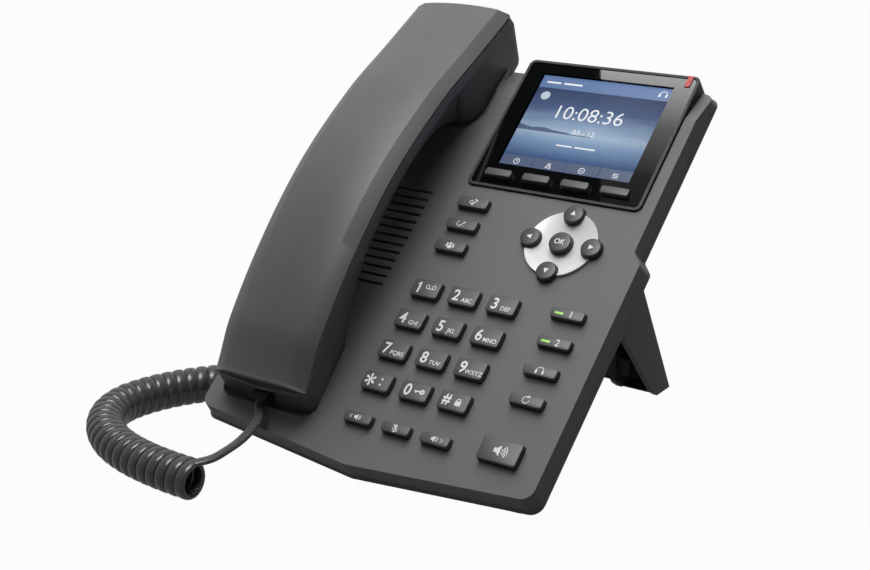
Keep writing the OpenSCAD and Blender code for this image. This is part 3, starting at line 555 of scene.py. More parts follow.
@dataclass(frozen=True)
class InkWithPaintedGlow(Finish):
    """Printed legend: thin matte ink, with a faint painted glow in its own colour."""

    def dress(self, kit: Kit) -> None:
        """Sets the shader's sockets.

        Args:
            kit: the material's node tree.
        """
        worn = kit.noise(2500.0)
        # painted glow: the printed ink gives off a little light in its own colour, though it is no lamp
        kit.set(Base_Color=kit.blend(worn, tone(self.colour, 0.88), tone(self.colour)), Roughness=0.5 + worn * 0.1,
                Specular_IOR_Level=0.2, Emission_Color=tone(self.colour), Emission_Strength=0.12)


@dataclass(frozen=True)
class Lens(Finish):
    """A coloured lamp lens: clear plastic over a coloured body."""

    glow: float = 0.12

    def dress(self, kit: Kit) -> None:
        """Sets the shader's sockets.

        Args:
            kit: the material's node tree.
        """
        haze = kit.noise(400.0)
        kit.set(Base_Color=kit.blend(haze, tone(self.colour, 0.85), tone(self.colour)), Roughness=0.12 + haze * 0.08,
                Coat_Weight=0.15, Specular_IOR_Level=0.2, Emission_Color=tone(self.colour),
                Emission_Strength=self.glow, Normal=kit.bumped(haze, 0.01, 0.2))


@dataclass(frozen=True)
class Jacket(Finish):
    """Smooth glossy cord jacket with faint drawing marks."""

    def dress(self, kit: Kit) -> None:
        """Sets the shader's sockets.

        Args:
            kit: the material's node tree.
        """
        marks = kit.noise(700.0, 3.0)
        kit.set(Base_Color=kit.blend(marks, tone(self.colour, 0.85), tone(self.colour, 1.15)),
                Roughness=0.27 + (marks - 0.5) * 0.04, Specular_IOR_Level=0.6, Normal=kit.bumped(marks, 0.002))


SCREEN_MIDDLE: Point2 = (29.8, 95.6)
SCREEN_SIZE: Point2 = (65.2, 52.1)
FINISHES: tuple[Finish, ...] = (
    Plastic("case_plastic", "6f6f70", specular=0.2, edge_mm=0.45),
    Plastic("rear_plastic", "6a6b6d", specular=0.2, edge_mm=0.45),
    Plastic("stand_plastic", "5c5d5f", specular=0.2, edge_mm=0.5),
    Plastic("head_plastic", "434446", rough=0.42, specular=0.15, edge_mm=0.35),
    Plastic("handset_plastic", "666667", rough=0.4, specular=0.3, grain_depth=0.006, edge_mm=0.3),
    Plastic("key_plastic", "4c4d4e", rough=0.4, specular=0.45, grain_mm=0.25, grain_depth=0.006),
    Plastic("soft_key_plastic", "464748", rough=0.42, specular=0.45, grain_mm=0.25),
    Plastic("round_key_plastic", "424344", rough=0.34, specular=0.5, grain_mm=0.25, grain_depth=0.004),
    Plastic("black_plastic", "1d1d1e", edge_mm=0.2),
    Plastic("ring_plastic", "e6e7e8", rough=0.22, specular=0.5, coat=0.5, grain_depth=0.001, mottle=0.01, edge_mm=0.3),
    Plastic("plug_plastic", "b9bdc0", rough=0.15, specular=0.5, edge_mm=0.2, mottle=0.03),
    Plastic("smoky_plug", "2e3032", rough=0.2, specular=0.5, edge_mm=0.2, mottle=0.03),
    Plastic("board_green", "1d5a34", rough=0.35, grain_mm=1.4, mottle=0.2, edge_mm=0.05),
    Plastic("speaker_paper", "242425", rough=0.8, specular=0.1, mottle=0.15),
    Plastic("panel_frame", "3a3b3d", rough=0.4),
    Rubber("key_silicone", "8f9193"), Rubber("feet_rubber", "1c1c1c"),
    Metal("screw_steel", "a2a3a5"), Metal("jack_metal", "c0c2c4"), Metal("contact_gold", "d8b560", rough=0.25),
    Jacket("cord_jacket", "464749"), InkWithPaintedGlow("white_ink", "e9eaeb"), Lens("red_lens", "bc181c"),
    Lit("green_light", "9ccf5e", 0.8, "6d9a3c"), Picture("screen_picture", "32456a"), Lit("screen_bar", "5b79a9"),
    Lit("screen_tab", "4c5a79"), Lit("screen_white", "f2f5fa"), Lit("screen_disc", "c3cfdf"),
    WindowGlass("window_glass", "0b0c0d", SCREEN_MIDDLE, SCREEN_SIZE))
Palette = dict[str, Material]


# ---------------------------------------------------------------- modelling helpers


def wear(obj: Object, material: Material) -> Object:
    """Gives an object one material all over.

    Args:
        obj: the object.
        material: its new finish.

    Returns:
        The same object.
    """
    obj.data.materials.clear()
    obj.data.materials.append(material)
    return obj


def named(obj: Object, name: str) -> Object:
    """Renames an object and its mesh."""
    obj.name = obj.data.name = name
    return obj


def fresh(obj: Object | None = None) -> None:
    """Leaves edit mode and selects nothing, or only obj, which is then active.

    Args:
        obj: the object to select, if any.
    """
    if bpy.context.object is not None and bpy.context.object.mode != "OBJECT":
        bpy.ops.object.mode_set(mode="OBJECT")
    bpy.ops.object.select_all(action="DESELECT")
    if obj is not None:
        obj.select_set(True)
        bpy.context.view_layer.objects.active = obj


def edit(obj: Object) -> None:
    """Enters edit mode on one object and selects all of its mesh.

    Args:
        obj: the object.
    """
    fresh(obj)
    bpy.ops.object.mode_set(mode="EDIT")
    bpy.ops.mesh.select_all(action="SELECT")


def round_edges(obj: Object, test: Callable[[Vector, Vector], bool], amount: float, segments: int) -> None:
    """Rounds, in edit mode, the edges whose two ends pass a test, by amount in millimetres.

    Args:
        obj: the object.
        test: says of an edge's two ends whether it is rounded.
        amount: how far the rounding reaches.
        segments: how many faces it has.
    """
    bpy.ops.mesh.select_mode(type="EDGE")
    bpy.ops.mesh.select_all(action="DESELECT")
    mesh = bmesh.from_edit_mesh(obj.data)
    for e in mesh.edges:
        e.select = test(e.verts[0].co, e.verts[1].co)
    bmesh.update_edit_mesh(obj.data)
    bpy.ops.mesh.bevel(offset=amount * MM, offset_type="OFFSET", segments=segments, affect="EDGES",
                       clamp_overlap=False)


def finish_mesh(obj: Object, smooth: float = 35.0, outward: bool = False) -> Object:
    """Smooths the shading below an angle in degrees, and points the faces outwards first where asked.

    Args:
        obj: the object.
        smooth: the angle.
        outward: whether the faces are turned outwards.

    Returns:
        The same object.
    """
    if outward:
        edit(obj)
        bpy.ops.mesh.normals_make_consistent(inside=False)
    fresh(obj)
    bpy.ops.object.shade_smooth_by_angle(angle=math.radians(smooth))
    obj.select_set(False)
    return obj


def seat(obj: Object) -> Object:
    """Moves a mesh made in the face frame, in metres, to its place in the row frame.

    Args:
        obj: the object.

    Returns:
        The same object.
    """
    obj.data.transform(obj.matrix_world)
    obj.matrix_world = Matrix.Identity(4)
    obj.data.transform(FACE.matrix)
    return obj


def put(obj: Object, material: Material, body: str, slot: str, *nodes: str) -> Object:
    """Seats and paints a face frame piece, hangs it on the body that it rides on, and hides the nodes that it replaces.

    Args:
        obj: the piece, still in the face frame.
        material: its finish.
        body: the CAD body that it rides on.
        slot: its material slot; not used.
        nodes: the CAD nodes that it stands for.

    Returns:
        The same piece.
    """
    wear(seat(obj), material)
    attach(obj, body)
    if nodes:
        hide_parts(*nodes)
    log.info("%s rides on %s", obj.name, body)
    return obj


def join(objs: Sequence[Object], name: str) -> Object:
    """Joins meshes into the first one and renames it.

    Args:
        objs: the meshes.
        name: the new name.

    Returns:
        The joined object.
    """
    fresh(objs[0])
    for o in objs:
        o.select_set(True)
    if len(objs) > 1:
        bpy.ops.object.join()
    objs[0].select_set(False)
    return named(objs[0], name)


def block(name: str, w: float, h: float, r: float, z0: float, z1: float, edge: float = 0.0,
          at: Point2 = (0.0, 0.0), steps: int = 5) -> Object:
    """A cube stretched to w x h between two heights, its upright edges rounded by r and its top edge by edge.

    Args:
        name: the new object's name.
        w, h: its size across and up the face.
        r: radius of its upright edges.
        z0, z1: its lowest and highest point.
        edge: radius of its top edge.
        at: its middle.
        steps: faces in each upright edge's rounding.

    Returns:
        The block, in the face frame.
    """
    fresh()
    bpy.ops.mesh.primitive_cube_add(size=1.0)
    o = named(bpy.context.object, name)
    o.data.transform(Matrix.Translation((at[0] * MM, at[1] * MM, (z0 + z1) / 2 * MM))
                     @ Matrix.Diagonal((w * MM, h * MM, (z1 - z0) * MM, 1)))
    top = z1 * MM - HAIR
    edit(o)
    if r > 0:
        round_edges(o, lambda a, b: abs(a.z - b.z) > HAIR, r, steps)
    if edge > 0:
        round_edges(o, lambda a, b: a.z > top and b.z > top, edge, 3)
    fresh()
    return o


def drum(name: str, r: float, z0: float, z1: float, edge: float, at: Point2, sides: int) -> Object:
    """A cylinder between two heights with its top edge rounded.

    Args:
        name: the new object's name.
        r: its radius.
        z0, z1: its lowest and highest point.
        edge: radius of its top edge.
        at: its middle.
        sides: how many sides it has.

    Returns:
        The drum, in the face frame.
    """
    fresh()
    bpy.ops.mesh.primitive_cylinder_add(vertices=sides, radius=r * MM, depth=(z1 - z0) * MM,
                                        location=(at[0] * MM, at[1] * MM, (z0 + z1) / 2 * MM))
    o = named(bpy.context.object, name)
    o.data.transform(o.matrix_world)
    o.matrix_world = Matrix.Identity(4)
    top = z1 * MM - HAIR
    if edge > 0:
        edit(o)
        round_edges(o, lambda a, b: a.z > top and b.z > top, edge, 4)
        fresh()
    return o


def sleeve(name: str, rings: Sequence[Sequence[Vector]]) -> Object:
    """A grid wrapped through rings of equally many points, in metres, with its seam and ends closed.

    Args:
        name: the new object's name.
        rings: the rings, from one end to the other.

    Returns:
        The closed sleeve.
    """
    n, m = len(rings[0]), len(rings) - 1
    fresh()
    bpy.ops.mesh.primitive_grid_add(x_subdivisions=n, y_subdivisions=m, size=1.0)
    o = named(bpy.context.object, name)
    for v in o.data.vertices:
        i, j = round((v.co.x + 0.5) * n), round((v.co.y + 0.5) * m)
        v.co = rings[j][i % n]
    edit(o)
    bpy.ops.mesh.remove_doubles(threshold=HAIR)
    bpy.ops.mesh.select_all(action="SELECT")
    bpy.ops.mesh.fill_holes(sides=0)
    fresh()
    return o


def carve(obj: Object, cutters: Sequence[Object]) -> None:
    """Cuts the cutters out of obj and removes them.

    Args:
        obj: the object to cut.
        cutters: what is cut out of it.
    """
    for c in cutters:
        fresh(obj)
        m = obj.modifiers.new("cut", "BOOLEAN")
        m.operation, m.object, m.solver = "DIFFERENCE", c, "EXACT"
        bpy.ops.object.modifier_apply(modifier=m.name)
        bpy.data.objects.remove(c)


def lettering(words: str, height: float, at: Point3, depth: float = 0.05, bold: float = 0.0,
              wide: float = 1.0) -> Object:
    """Raised lettering, centred on a face frame point, its capitals height tall.

    Args:
        words: what is written.
        height: height of a capital.
        at: the middle of the words.
        depth: how thick the ink stands.
        bold: how far the strokes are widened.
        wide: stretch across the face.

    Returns:
        The lettering as one mesh.
    """
    fresh()
    bpy.ops.object.text_add(location=(0, 0, 0))
    text = bpy.context.object.data
    text.body = words
    text.align_x, text.align_y = "CENTER", "CENTER"
    text.size = height * MM / 0.70
    text.extrude = depth / 2 * MM
    text.offset = bold * MM
    text.resolution_u = 4
    bpy.ops.object.convert(target="MESH")
    o = bpy.context.object
    xs, ys = [v.co.x for v in o.data.vertices], [v.co.y for v in o.data.vertices]
    mid = Vector(((min(xs) + max(xs)) / 2, (min(ys) + max(ys)) / 2, 0))
    o.data.transform(Matrix.Translation((at[0] * MM, at[1] * MM, at[2] * MM))
                     @ Matrix.Diagonal((wide, 1, 1, 1)) @ Matrix.Translation(-mid))
    return o


class Glyph:
    """A flat sign drawn from discs, rings, bars and polygons, in millimetres from its own middle."""

    def __init__(self) -> None:
        """Starts with nothing drawn."""
        self.shapes: list[list[Point2]] = []

    def poly(self, *points: Point2) -> Glyph:
        """Adds a convex polygon."""
        self.shapes.append(list(points))
        return self

    def disc(self, x: float, y: float, r: float, sides: int = 20) -> Glyph:
        """Adds a disc."""
        turns = [math.tau * i / sides for i in range(sides)]
        return self.poly(*[(x + r * math.cos(a), y + r * math.sin(a)) for a in turns])

    def arc(self, x: float, y: float, r: float, w: float, a0: float = 0.0, a1: float = 360.0,
            steps: int = 20) -> Glyph:
        """Adds a ring or part of one, w wide, from angle a0 to a1 in degrees.

        Args:
            x, y: its middle.
            r: radius of the stroke's middle.
            w: width of the stroke.
            a0, a1: where it starts and ends.
            steps: how many straight pieces it has.

        Returns:
            The sign itself.
        """
        for i in range(steps):
            a, b = (math.radians(a0 + (a1 - a0) * k / steps) for k in (i, i + 1))
            self.poly(*[(x + (r + side * w / 2) * math.cos(t), y + (r + side * w / 2) * math.sin(t))
                        for t, side in ((a, -1), (a, 1), (b, 1), (b, -1))])
        return self

    def bar(self, x0: float, y0: float, x1: float, y1: float, w: float) -> Glyph:
        """Adds a straight stroke w wide.

        Args:
            x0, y0: where it starts.
            x1, y1: where it ends.
            w: its width.

        Returns:
            The sign itself.
        """
        d = math.hypot(x1 - x0, y1 - y0)
        ax, ay = -(y1 - y0) / d * w / 2, (x1 - x0) / d * w / 2
        return self.poly((x0 + ax, y0 + ay), (x0 - ax, y0 - ay), (x1 - ax, y1 - ay), (x1 + ax, y1 + ay))

    def piece(self, name: str, at: Point3, scale: float = 1.0, depth: float = 0.05) -> Object:
        """Raises the sign by depth at a face frame point.

        Args:
            name: the new object's name.
            at: the sign's middle on the surface, in face frame millimetres.
            scale: size of the sign.
            depth: how thick the ink stands.

        Returns:
            The sign as one mesh, still in the face frame.
        """
        (x, y, z), verts, faces = at, [], []
        for shape in self.shapes:
            area = sum(a[0] * b[1] - b[0] * a[1] for a, b in zip(shape, shape[1:] + shape[:1]))
            ring = shape if area > 0 else shape[::-1]
            faces.append(list(range(len(verts), len(verts) + len(ring))))
            verts += [((x + px * scale) * MM, (y + py * scale) * MM, (z - depth / 2) * MM) for px, py in ring]
        mesh = bpy.data.meshes.new(name)
        mesh.from_pydata(verts, [], faces)
        o = bpy.data.objects.new(name, mesh)
        bpy.context.scene.collection.objects.link(o)
        edit(o)
        bpy.ops.mesh.extrude_region_move(TRANSFORM_OT_translate={"value": (0, 0, depth * MM)})
        bpy.ops.mesh.select_all(action="SELECT")
        bpy.ops.mesh.normals_make_consistent(inside=False)
        fresh()
        return o


def arrow(turn: float) -> tuple:
    """The stroke of an arrowhead that points along an angle in degrees."""
    corners = [math.radians(turn + a) for a in (0, 125, 235)]
    return (("poly", *[(1.45 * math.cos(a), 1.45 * math.sin(a)) for a in corners]),)


HORN = (("poly", (-1.3, -0.5), (-0.7, -0.5), (-0.7, 0.5), (-1.3, 0.5)),
        ("poly", (-0.65, -0.5), (0.15, -1.2), (0.15, 1.2), (-0.65, 0.5)),
        ("arc", 0.0, 0, 0.75, 0.22, -45, 45, 8), ("arc", 0.0, 0, 1.25, 0.22, -45, 45, 8))


class Sign(Enum):
    """The plain pictograms on the keys and the screen: each stroke is a Glyph method's name and its sizes."""

    NONE = ()
    TAPE = (("arc", -1.1, 0, 0.62, 0.26), ("arc", 1.1, 0, 0.62, 0.26), ("bar", -1.1, -0.62, 1.1, -0.62, 0.26))
    DOTS = (("disc", 0, -0.9, 0.34), ("bar", 0, 0.45, 0, 1.25, 0.3), ("bar", -0.4, 0.85, 0.4, 0.85, 0.3))
    SLIDE = (("bar", -1.8, 0.1, 0.6, 0.1, 0.5), ("bar", -1.2, -0.05, -1.2, -0.6, 0.4), ("arc", 1.2, 0.1, 0.6, 0.62))
    LOCK = (("poly", (-0.95, -1.2), (0.95, -1.2), (0.95, 0.25), (-0.95, 0.25)), ("arc", 0, 0.35, 0.62, 0.3, 0, 180))
    QUIETER = (*HORN, ("bar", -2.3, 0.65, -3.1, 0.03, 0.24), ("bar", -2.3, -0.65, -3.1, -0.03, 0.24))
    LOUDER = (*HORN, ("bar", 2.3, 0.65, 3.1, 0.03, 0.24), ("bar", 2.3, -0.65, 3.1, -0.03, 0.24))
    SPEAKER = (*HORN, ("arc", 0.0, 0, 1.75, 0.22, -45, 45, 8))
    MUTE = (("disc", 0, 0.75, 0.5), ("disc", 0, 0.0, 0.5), ("bar", 0, 0.8, 0, 0, 1.0),
            ("arc", 0, 0.0, 0.95, 0.22, 180, 360, 12), ("bar", 0, -0.95, 0, -1.5, 0.24),
            ("bar", -0.6, -1.5, 0.6, -1.5, 0.24), ("bar", -1.15, 1.2, 1.15, -1.3, 0.26))
    HEADSET = (("arc", 0, 0, 1.25, 0.26, 0, 180, 16), ("poly", (-1.5, -1.1), (-0.85, -1.1), (-0.85, 0.1), (-1.5, 0.1)),
               ("poly", (0.85, -1.1), (1.5, -1.1), (1.5, 0.1), (0.85, 0.1)))
    REDIAL = (("arc", 0, 0, 1.15, 0.28, 65, 360, 24), ("poly", (0.05, 0.75), (1.25, 1.0), (0.55, 1.75)))
    TRANSFER = (("arc", -0.5, 0, 0.62, 0.26), ("bar", 0.2, -0.9, 1.3, 0.6, 0.34), ("disc", 0.15, -0.95, 0.36),
                ("disc", 1.35, 0.7, 0.36), ("bar", 0.3, 1.2, 1.1, 1.2, 0.22))
    HOLD = (("arc", -0.6, 0, 1.1, 0.26, 115, 245, 12), ("bar", -0.3, -0.8, 0.9, 0.5, 0.34),
            ("disc", -0.35, -0.85, 0.36), ("disc", 0.95, 0.6, 0.36), ("bar", 0.6, -0.9, 1.3, -0.9, 0.22))
    MEETING = (("disc", -1.15, 0.55, 0.4), ("disc", 1.15, 0.55, 0.4), ("disc", 0.0, 0.8, 0.52),
               ("poly", (-1.9, -0.5), (-0.75, -0.5), (-0.75, -0.1), (-1.15, 0.1), (-1.6, 0.0)),
               ("poly", (1.9, -0.5), (0.75, -0.5), (0.75, -0.1), (1.15, 0.1), (1.6, 0.0)),
               ("poly", (-0.75, -1.1), (0.75, -1.1), (0.7, -0.1), (0.3, 0.2), (-0.3, 0.2), (-0.7, -0.1)))
    CLOCK = (("arc", 0, 0, 1.2, 0.28), ("bar", 0, 0, 0, 0.75, 0.26), ("bar", 0, 0, 0.6, 0, 0.26))
    BOOK = (("arc", 0, 0.55, 0.55, 0.3), ("bar", -1.2, -1.0, 1.2, -1.0, 0.3), ("arc", 0, -1.0, 1.05, 0.3, 0, 180, 14))
    MOON = (("arc", 0, 0, 1.2, 0.28), ("bar", -0.6, 0, 0.6, 0, 0.32))
    LIST = (("bar", -1.2, -0.8, 1.2, -0.8, 0.3), ("bar", -1.2, 0.0, 1.2, 0.0, 0.3), ("bar", -1.2, 0.8, 1.2, 0.8, 0.3))
    RIGHT = arrow(0)
    UP = arrow(90)
    LEFT = arrow(180)
    DOWN = arrow(270)

    def draw(self) -> Glyph:
        """The sign about 2 to 4 mm tall, round its own middle.

        Returns:
            The strokes, ready to be raised.
        """
        g = Glyph()
        strokes = {"poly": g.poly, "disc": g.disc, "arc": g.arc, "bar": g.bar}
        for kind, *sizes in self.value:
            strokes[kind](*sizes)
        return g


# ---------------------------------------------------------------- keys


class Shape(Enum):
    """How a key's cap is cut; the value is its finish."""

    BLOCK = "key_plastic"
    ROUND = "round_key_plastic"
    SOFT = "soft_key_plastic"


@dataclass
class Key:
    """One key: its cap, flange and foot, and what is printed on it. A soft key has no foot."""

    node: str
    x: float
    y: float
    w: float
    h: float = 0.0
    shape: Shape = Shape.BLOCK
    words: str = ""
    words_at: Point2 = (0.0, 0.0)
    words_tall: float = 3.0
    small: str = ""
    sign: Sign = Sign.NONE
    sign_at: Point2 = (0.0, 0.0)
    sign_size: float = 1.0
    top: float = 2.5
    corner: float = 1.2
    flange_top: float = -2.35
    flange: float = 1.0
    lip: float = 0.9
    lip_corner: float = 1.2
    foot: float = 1.6

    @property
    def body(self) -> str:
        """The CAD body that the key rides on."""
        return "key_" + self.node

    def cap(self, paint: Palette) -> Object:
        """Models the cap with its flange and foot.

        Args:
            paint: the phone's finishes.

        Returns:
            The cap as one mesh.
        """
        name, low, at = self.node + "_cap", self.flange_top - self.flange, (self.x, self.y)
        if self.shape is Shape.ROUND:
            parts = [drum(name, self.w, low, self.top, 0.65, at, 56),
                     drum("lip", self.w + self.lip, low, self.flange_top, 0.0, at, 56)]
        else:
            parts = [block(name, self.w, self.h, self.corner, low, self.top, 0.28, at),
                     block("lip", self.w + 2 * self.lip, self.h + 2 * self.lip, self.lip_corner, low, self.flange_top,
                           0.0, at)]
        if self.shape is not Shape.SOFT:
            parts.append(drum("foot", self.foot, low - self.foot, low, 0.0, at, 24))
        return put(finish_mesh(join(parts, name)), paint[self.shape.value], self.body, "key_plastic", self.node)

    def legend(self, paint: Palette) -> None:
        """Prints the key's figures, letters or sign. A bare key gets nothing.

        Args:
            paint: the phone's finishes.
        """
        z = self.top + 0.015
        parts: list[Object] = []
        words_at = (self.x + self.words_at[0], self.y + self.words_at[1], z)
        if self.words:
            parts.append(lettering(self.words, self.words_tall, words_at, 0.05, 0.14 if self.words_tall > 4 else 0.05,
                                   0.92))
        if self.words == "1" and self.words_tall > 4:
            parts.append(Glyph().bar(-1.15, 1.35, 0.1, 2.2, 0.62).piece("flag", words_at))
        if self.small:
            parts.append(lettering(self.small, 2.0, (self.x + 2.45, self.y - 1.65, z), 0.05, 0.02, 0.97))
        if self.sign is not Sign.NONE:
            sign_at = (self.x + self.sign_at[0], self.y + self.sign_at[1], z)
            parts.append(self.sign.draw().piece("sign", sign_at, self.sign_size))
        if parts:
            put(join(parts, self.node + "_legend"), paint["white_ink"], self.body, "key_plastic")


@dataclass
class KeyField:
    """All the phone's keys, where the part's source puts them."""

    first_x: float = -3.4
    pitch_x: float = 19.0
    pitch_y: float = 15.49
    dial_size: Point2 = (13.6, 8.2)
    pip_off: Point2 = (-1.0, -3.1)
    function_at: Point2 = (-2.7, 45.98)
    function_pitch: float = 11.7
    function_size: Point2 = (15.1, 5.4)
    column_at: Point2 = (64.2, 2.15)
    column_pitch: float = 13.45
    column_size: Point2 = (14.9, 4.6)
    volume_y: float = -63.99
    volume_size: Point2 = (13.4, 4.6)
    speaker_at: Point2 = (63.4, -61.35)
    speaker_size: Point2 = (17.5, 9.9)
    soft_at: Point2 = (30.3, 63.4)
    soft_pitch: float = 19.1
    soft_size: Point2 = (13.2, 3.7)
    ring_at: Point2 = (46.0, 34.45)
    ring_r: float = 14.5
    arrow_r: float = 4.5
    ok_r: float = 4.95

    def dial(self) -> list[Key]:
        """The twelve dial keys.

        Returns:
            The keys, row by row.
        """
        small = dict(zip("23456789", "ABC DEF GHI JKL MNO PQRS TUV WXYZ".split()))
        signs = {"1": (Sign.TAPE, 1.4), "*": (Sign.DOTS, 1.5), "0": (Sign.SLIDE, 1.25), "#": (Sign.LOCK, 1.4)}
        keys = []
        for i, word in enumerate("123456789*0#"):
            sign, size = signs.get(word, (Sign.NONE, 1.0))
            keys.append(Key("dial_" + {"*": "star", "#": "hash"}.get(word, word), self.first_x + self.pitch_x * (i % 3),
                            -self.pitch_y * (i // 3), *self.dial_size, words=word, words_at=(-3.2, 0.0),
                            words_tall={"*": 8.6, "#": 4.7}.get(word, 5.1), small=small.get(word, ""), sign=sign,
                            sign_at=(2.3, 0.9 if word == "1" else 0.0), sign_size=size))
        return keys

    def lay_out(self) -> list[Key]:
        """Every key of the phone.

        Returns:
            The dial keys first, the ring's keys last.
        """
        keys = self.dial()
        for i, (node, sign) in enumerate((("transfer_key", Sign.TRANSFER), ("hold_key", Sign.HOLD),
                                          ("conference_key", Sign.MEETING))):
            keys.append(Key(node, self.function_at[0], self.function_at[1] - self.function_pitch * i,
                            *self.function_size, sign=sign, sign_size=1.3))
        for i, (node, word, sign) in enumerate((("line_key_1", "1", Sign.NONE), ("line_key_2", "2", Sign.NONE),
                                                ("headset_key", "", Sign.HEADSET), ("redial_key", "", Sign.REDIAL))):
            keys.append(Key(node, self.column_at[0], self.column_at[1] - self.column_pitch * i, *self.column_size,
                            words=word, words_at=(1.8, 0.0), sign=sign, sign_size=1.28))
        for i, (node, sign) in enumerate((("volume_down_key", Sign.QUIETER), ("mute_key", Sign.MUTE),
                                          ("volume_up_key", Sign.LOUDER))):
            keys.append(Key(node, self.first_x + self.pitch_x * i, self.volume_y, *self.volume_size, sign=sign,
                            sign_size=1.2))
        keys.append(Key("speaker_key", *self.speaker_at, *self.speaker_size, sign=Sign.SPEAKER, sign_size=1.9))
        for i in range(4):
            keys.append(Key("soft_key_%d" % (i + 1), self.soft_at[0] + self.soft_pitch * (i - 1.5), self.soft_at[1],
                            *self.soft_size, shape=Shape.SOFT, corner=1.0, flange_top=-1.25))
        for i, (node, sign) in enumerate((("nav_right", Sign.RIGHT), ("nav_up", Sign.UP), ("nav_left", Sign.LEFT),
                                          ("nav_down", Sign.DOWN))):
            a = math.radians(90 * i)
            keys.append(Key(node, self.ring_at[0] + self.ring_r * math.cos(a),
                            self.ring_at[1] + self.ring_r * math.sin(a), self.arrow_r, shape=Shape.ROUND,
                            sign=sign))
        keys.append(Key("ok_key", *self.ring_at, self.ok_r, shape=Shape.ROUND, words="OK", words_tall=2.5))
        return keys

    def build(self, paint: Palette) -> dict[str, Object]:
        """Models every key and its print, the green bars of the line keys and the pip of the middle key.

        Args:
            paint: the phone's finishes.

        Returns:
            Each node's cap.
        """
        made: dict[str, Object] = {}
        keys = self.lay_out()
        for key in keys:
            made[key.node] = key.cap(paint)
            key.legend(paint)
        for node, point in (("line_key_1", (558.9, 312.9)), ("line_key_2", (545.4, 340.9))):
            spot = FACE.back(CAMERA.meet(*point, [made[node]]))
            bar = block(node + "_light", 4.0, 1.05, 0.45, 2.4, 2.58, 0.06, (spot.x, spot.y), 3)
            put(finish_mesh(bar), paint["green_light"], "key_" + node, "key_plastic")
        pip_at = (self.first_x + self.pitch_x + self.pip_off[0], -self.pitch_y + self.pip_off[1])
        pip = block("dial_5_pip", 2.4, 0.5, 0.2, 2.4, 2.85, 0.12, pip_at, 3)
        put(finish_mesh(pip), paint["key_plastic"], "key_dial_5", "key_plastic")
        log.info("%d keys and their print", len(keys))
        return made


# ---------------------------------------------------------------- handset


def ease(a: float, b: float, y: float) -> float:
    """A smooth step from 0 at a to 1 at b."""
    t = max(0.0, min(1.0, (y - a) / (b - a)))
    return t * t * (3 - 2 * t)


def curve(knots: Sequence[Point2], x: float) -> float:
    """A smooth line through knots, as the part's source draws it.

    Args:
        knots: the points, from left to right.
        x: where the line is read.

    Returns:
        The line's height there.
    """
    i = max([j for j in range(len(knots) - 1) if j == 0 or knots[j][0] <= x])

    def slope(k: int) -> float:
        """The line's slope at a knot."""
        a, b = max(k - 1, 0), min(k + 1, len(knots) - 1)
        return (knots[b][1] - knots[a][1]) / (knots[b][0] - knots[a][0])

    h = knots[i + 1][0] - knots[i][0]
    t = (x - knots[i][0]) / h
    return ((2 * t**3 - 3 * t**2 + 1) * knots[i][1] + (t**3 - 2 * t**2 + t) * h * slope(i)
            + (3 * t**2 - 2 * t**3) * knots[i + 1][1] + (t**3 - t**2) * h * slope(i + 1))


def filleted(points: Sequence[Point3], steps: int = 4) -> list[Point2]:
    """An open line whose corners (x, z, radius) are rounded by arcs.

    Args:
        points: the corners.
        steps: straight pieces in each arc.

    Returns:
        The line's points.
    """
    out: list[Point2] = [points[0][:2]]
    for a, b, c in zip(points, points[1:], points[2:]):
        if b[2] <= 0:
            out.append(b[:2])
            continue
        m = Vector(b[:2])
        u, v = Vector((a[0] - b[0], a[1] - b[1])), Vector((c[0] - b[0], c[1] - b[1]))
        reach = min(b[2], 0.45 * u.length, 0.45 * v.length)
        p, q = m + u.normalized() * reach, m + v.normalized() * reach
        for k in range(steps + 1):
            t = k / steps
            out.append(tuple(p * (1 - t) ** 2 + m * 2 * t * (1 - t) + q * t**2))
    return [*out, points[-1][:2]]


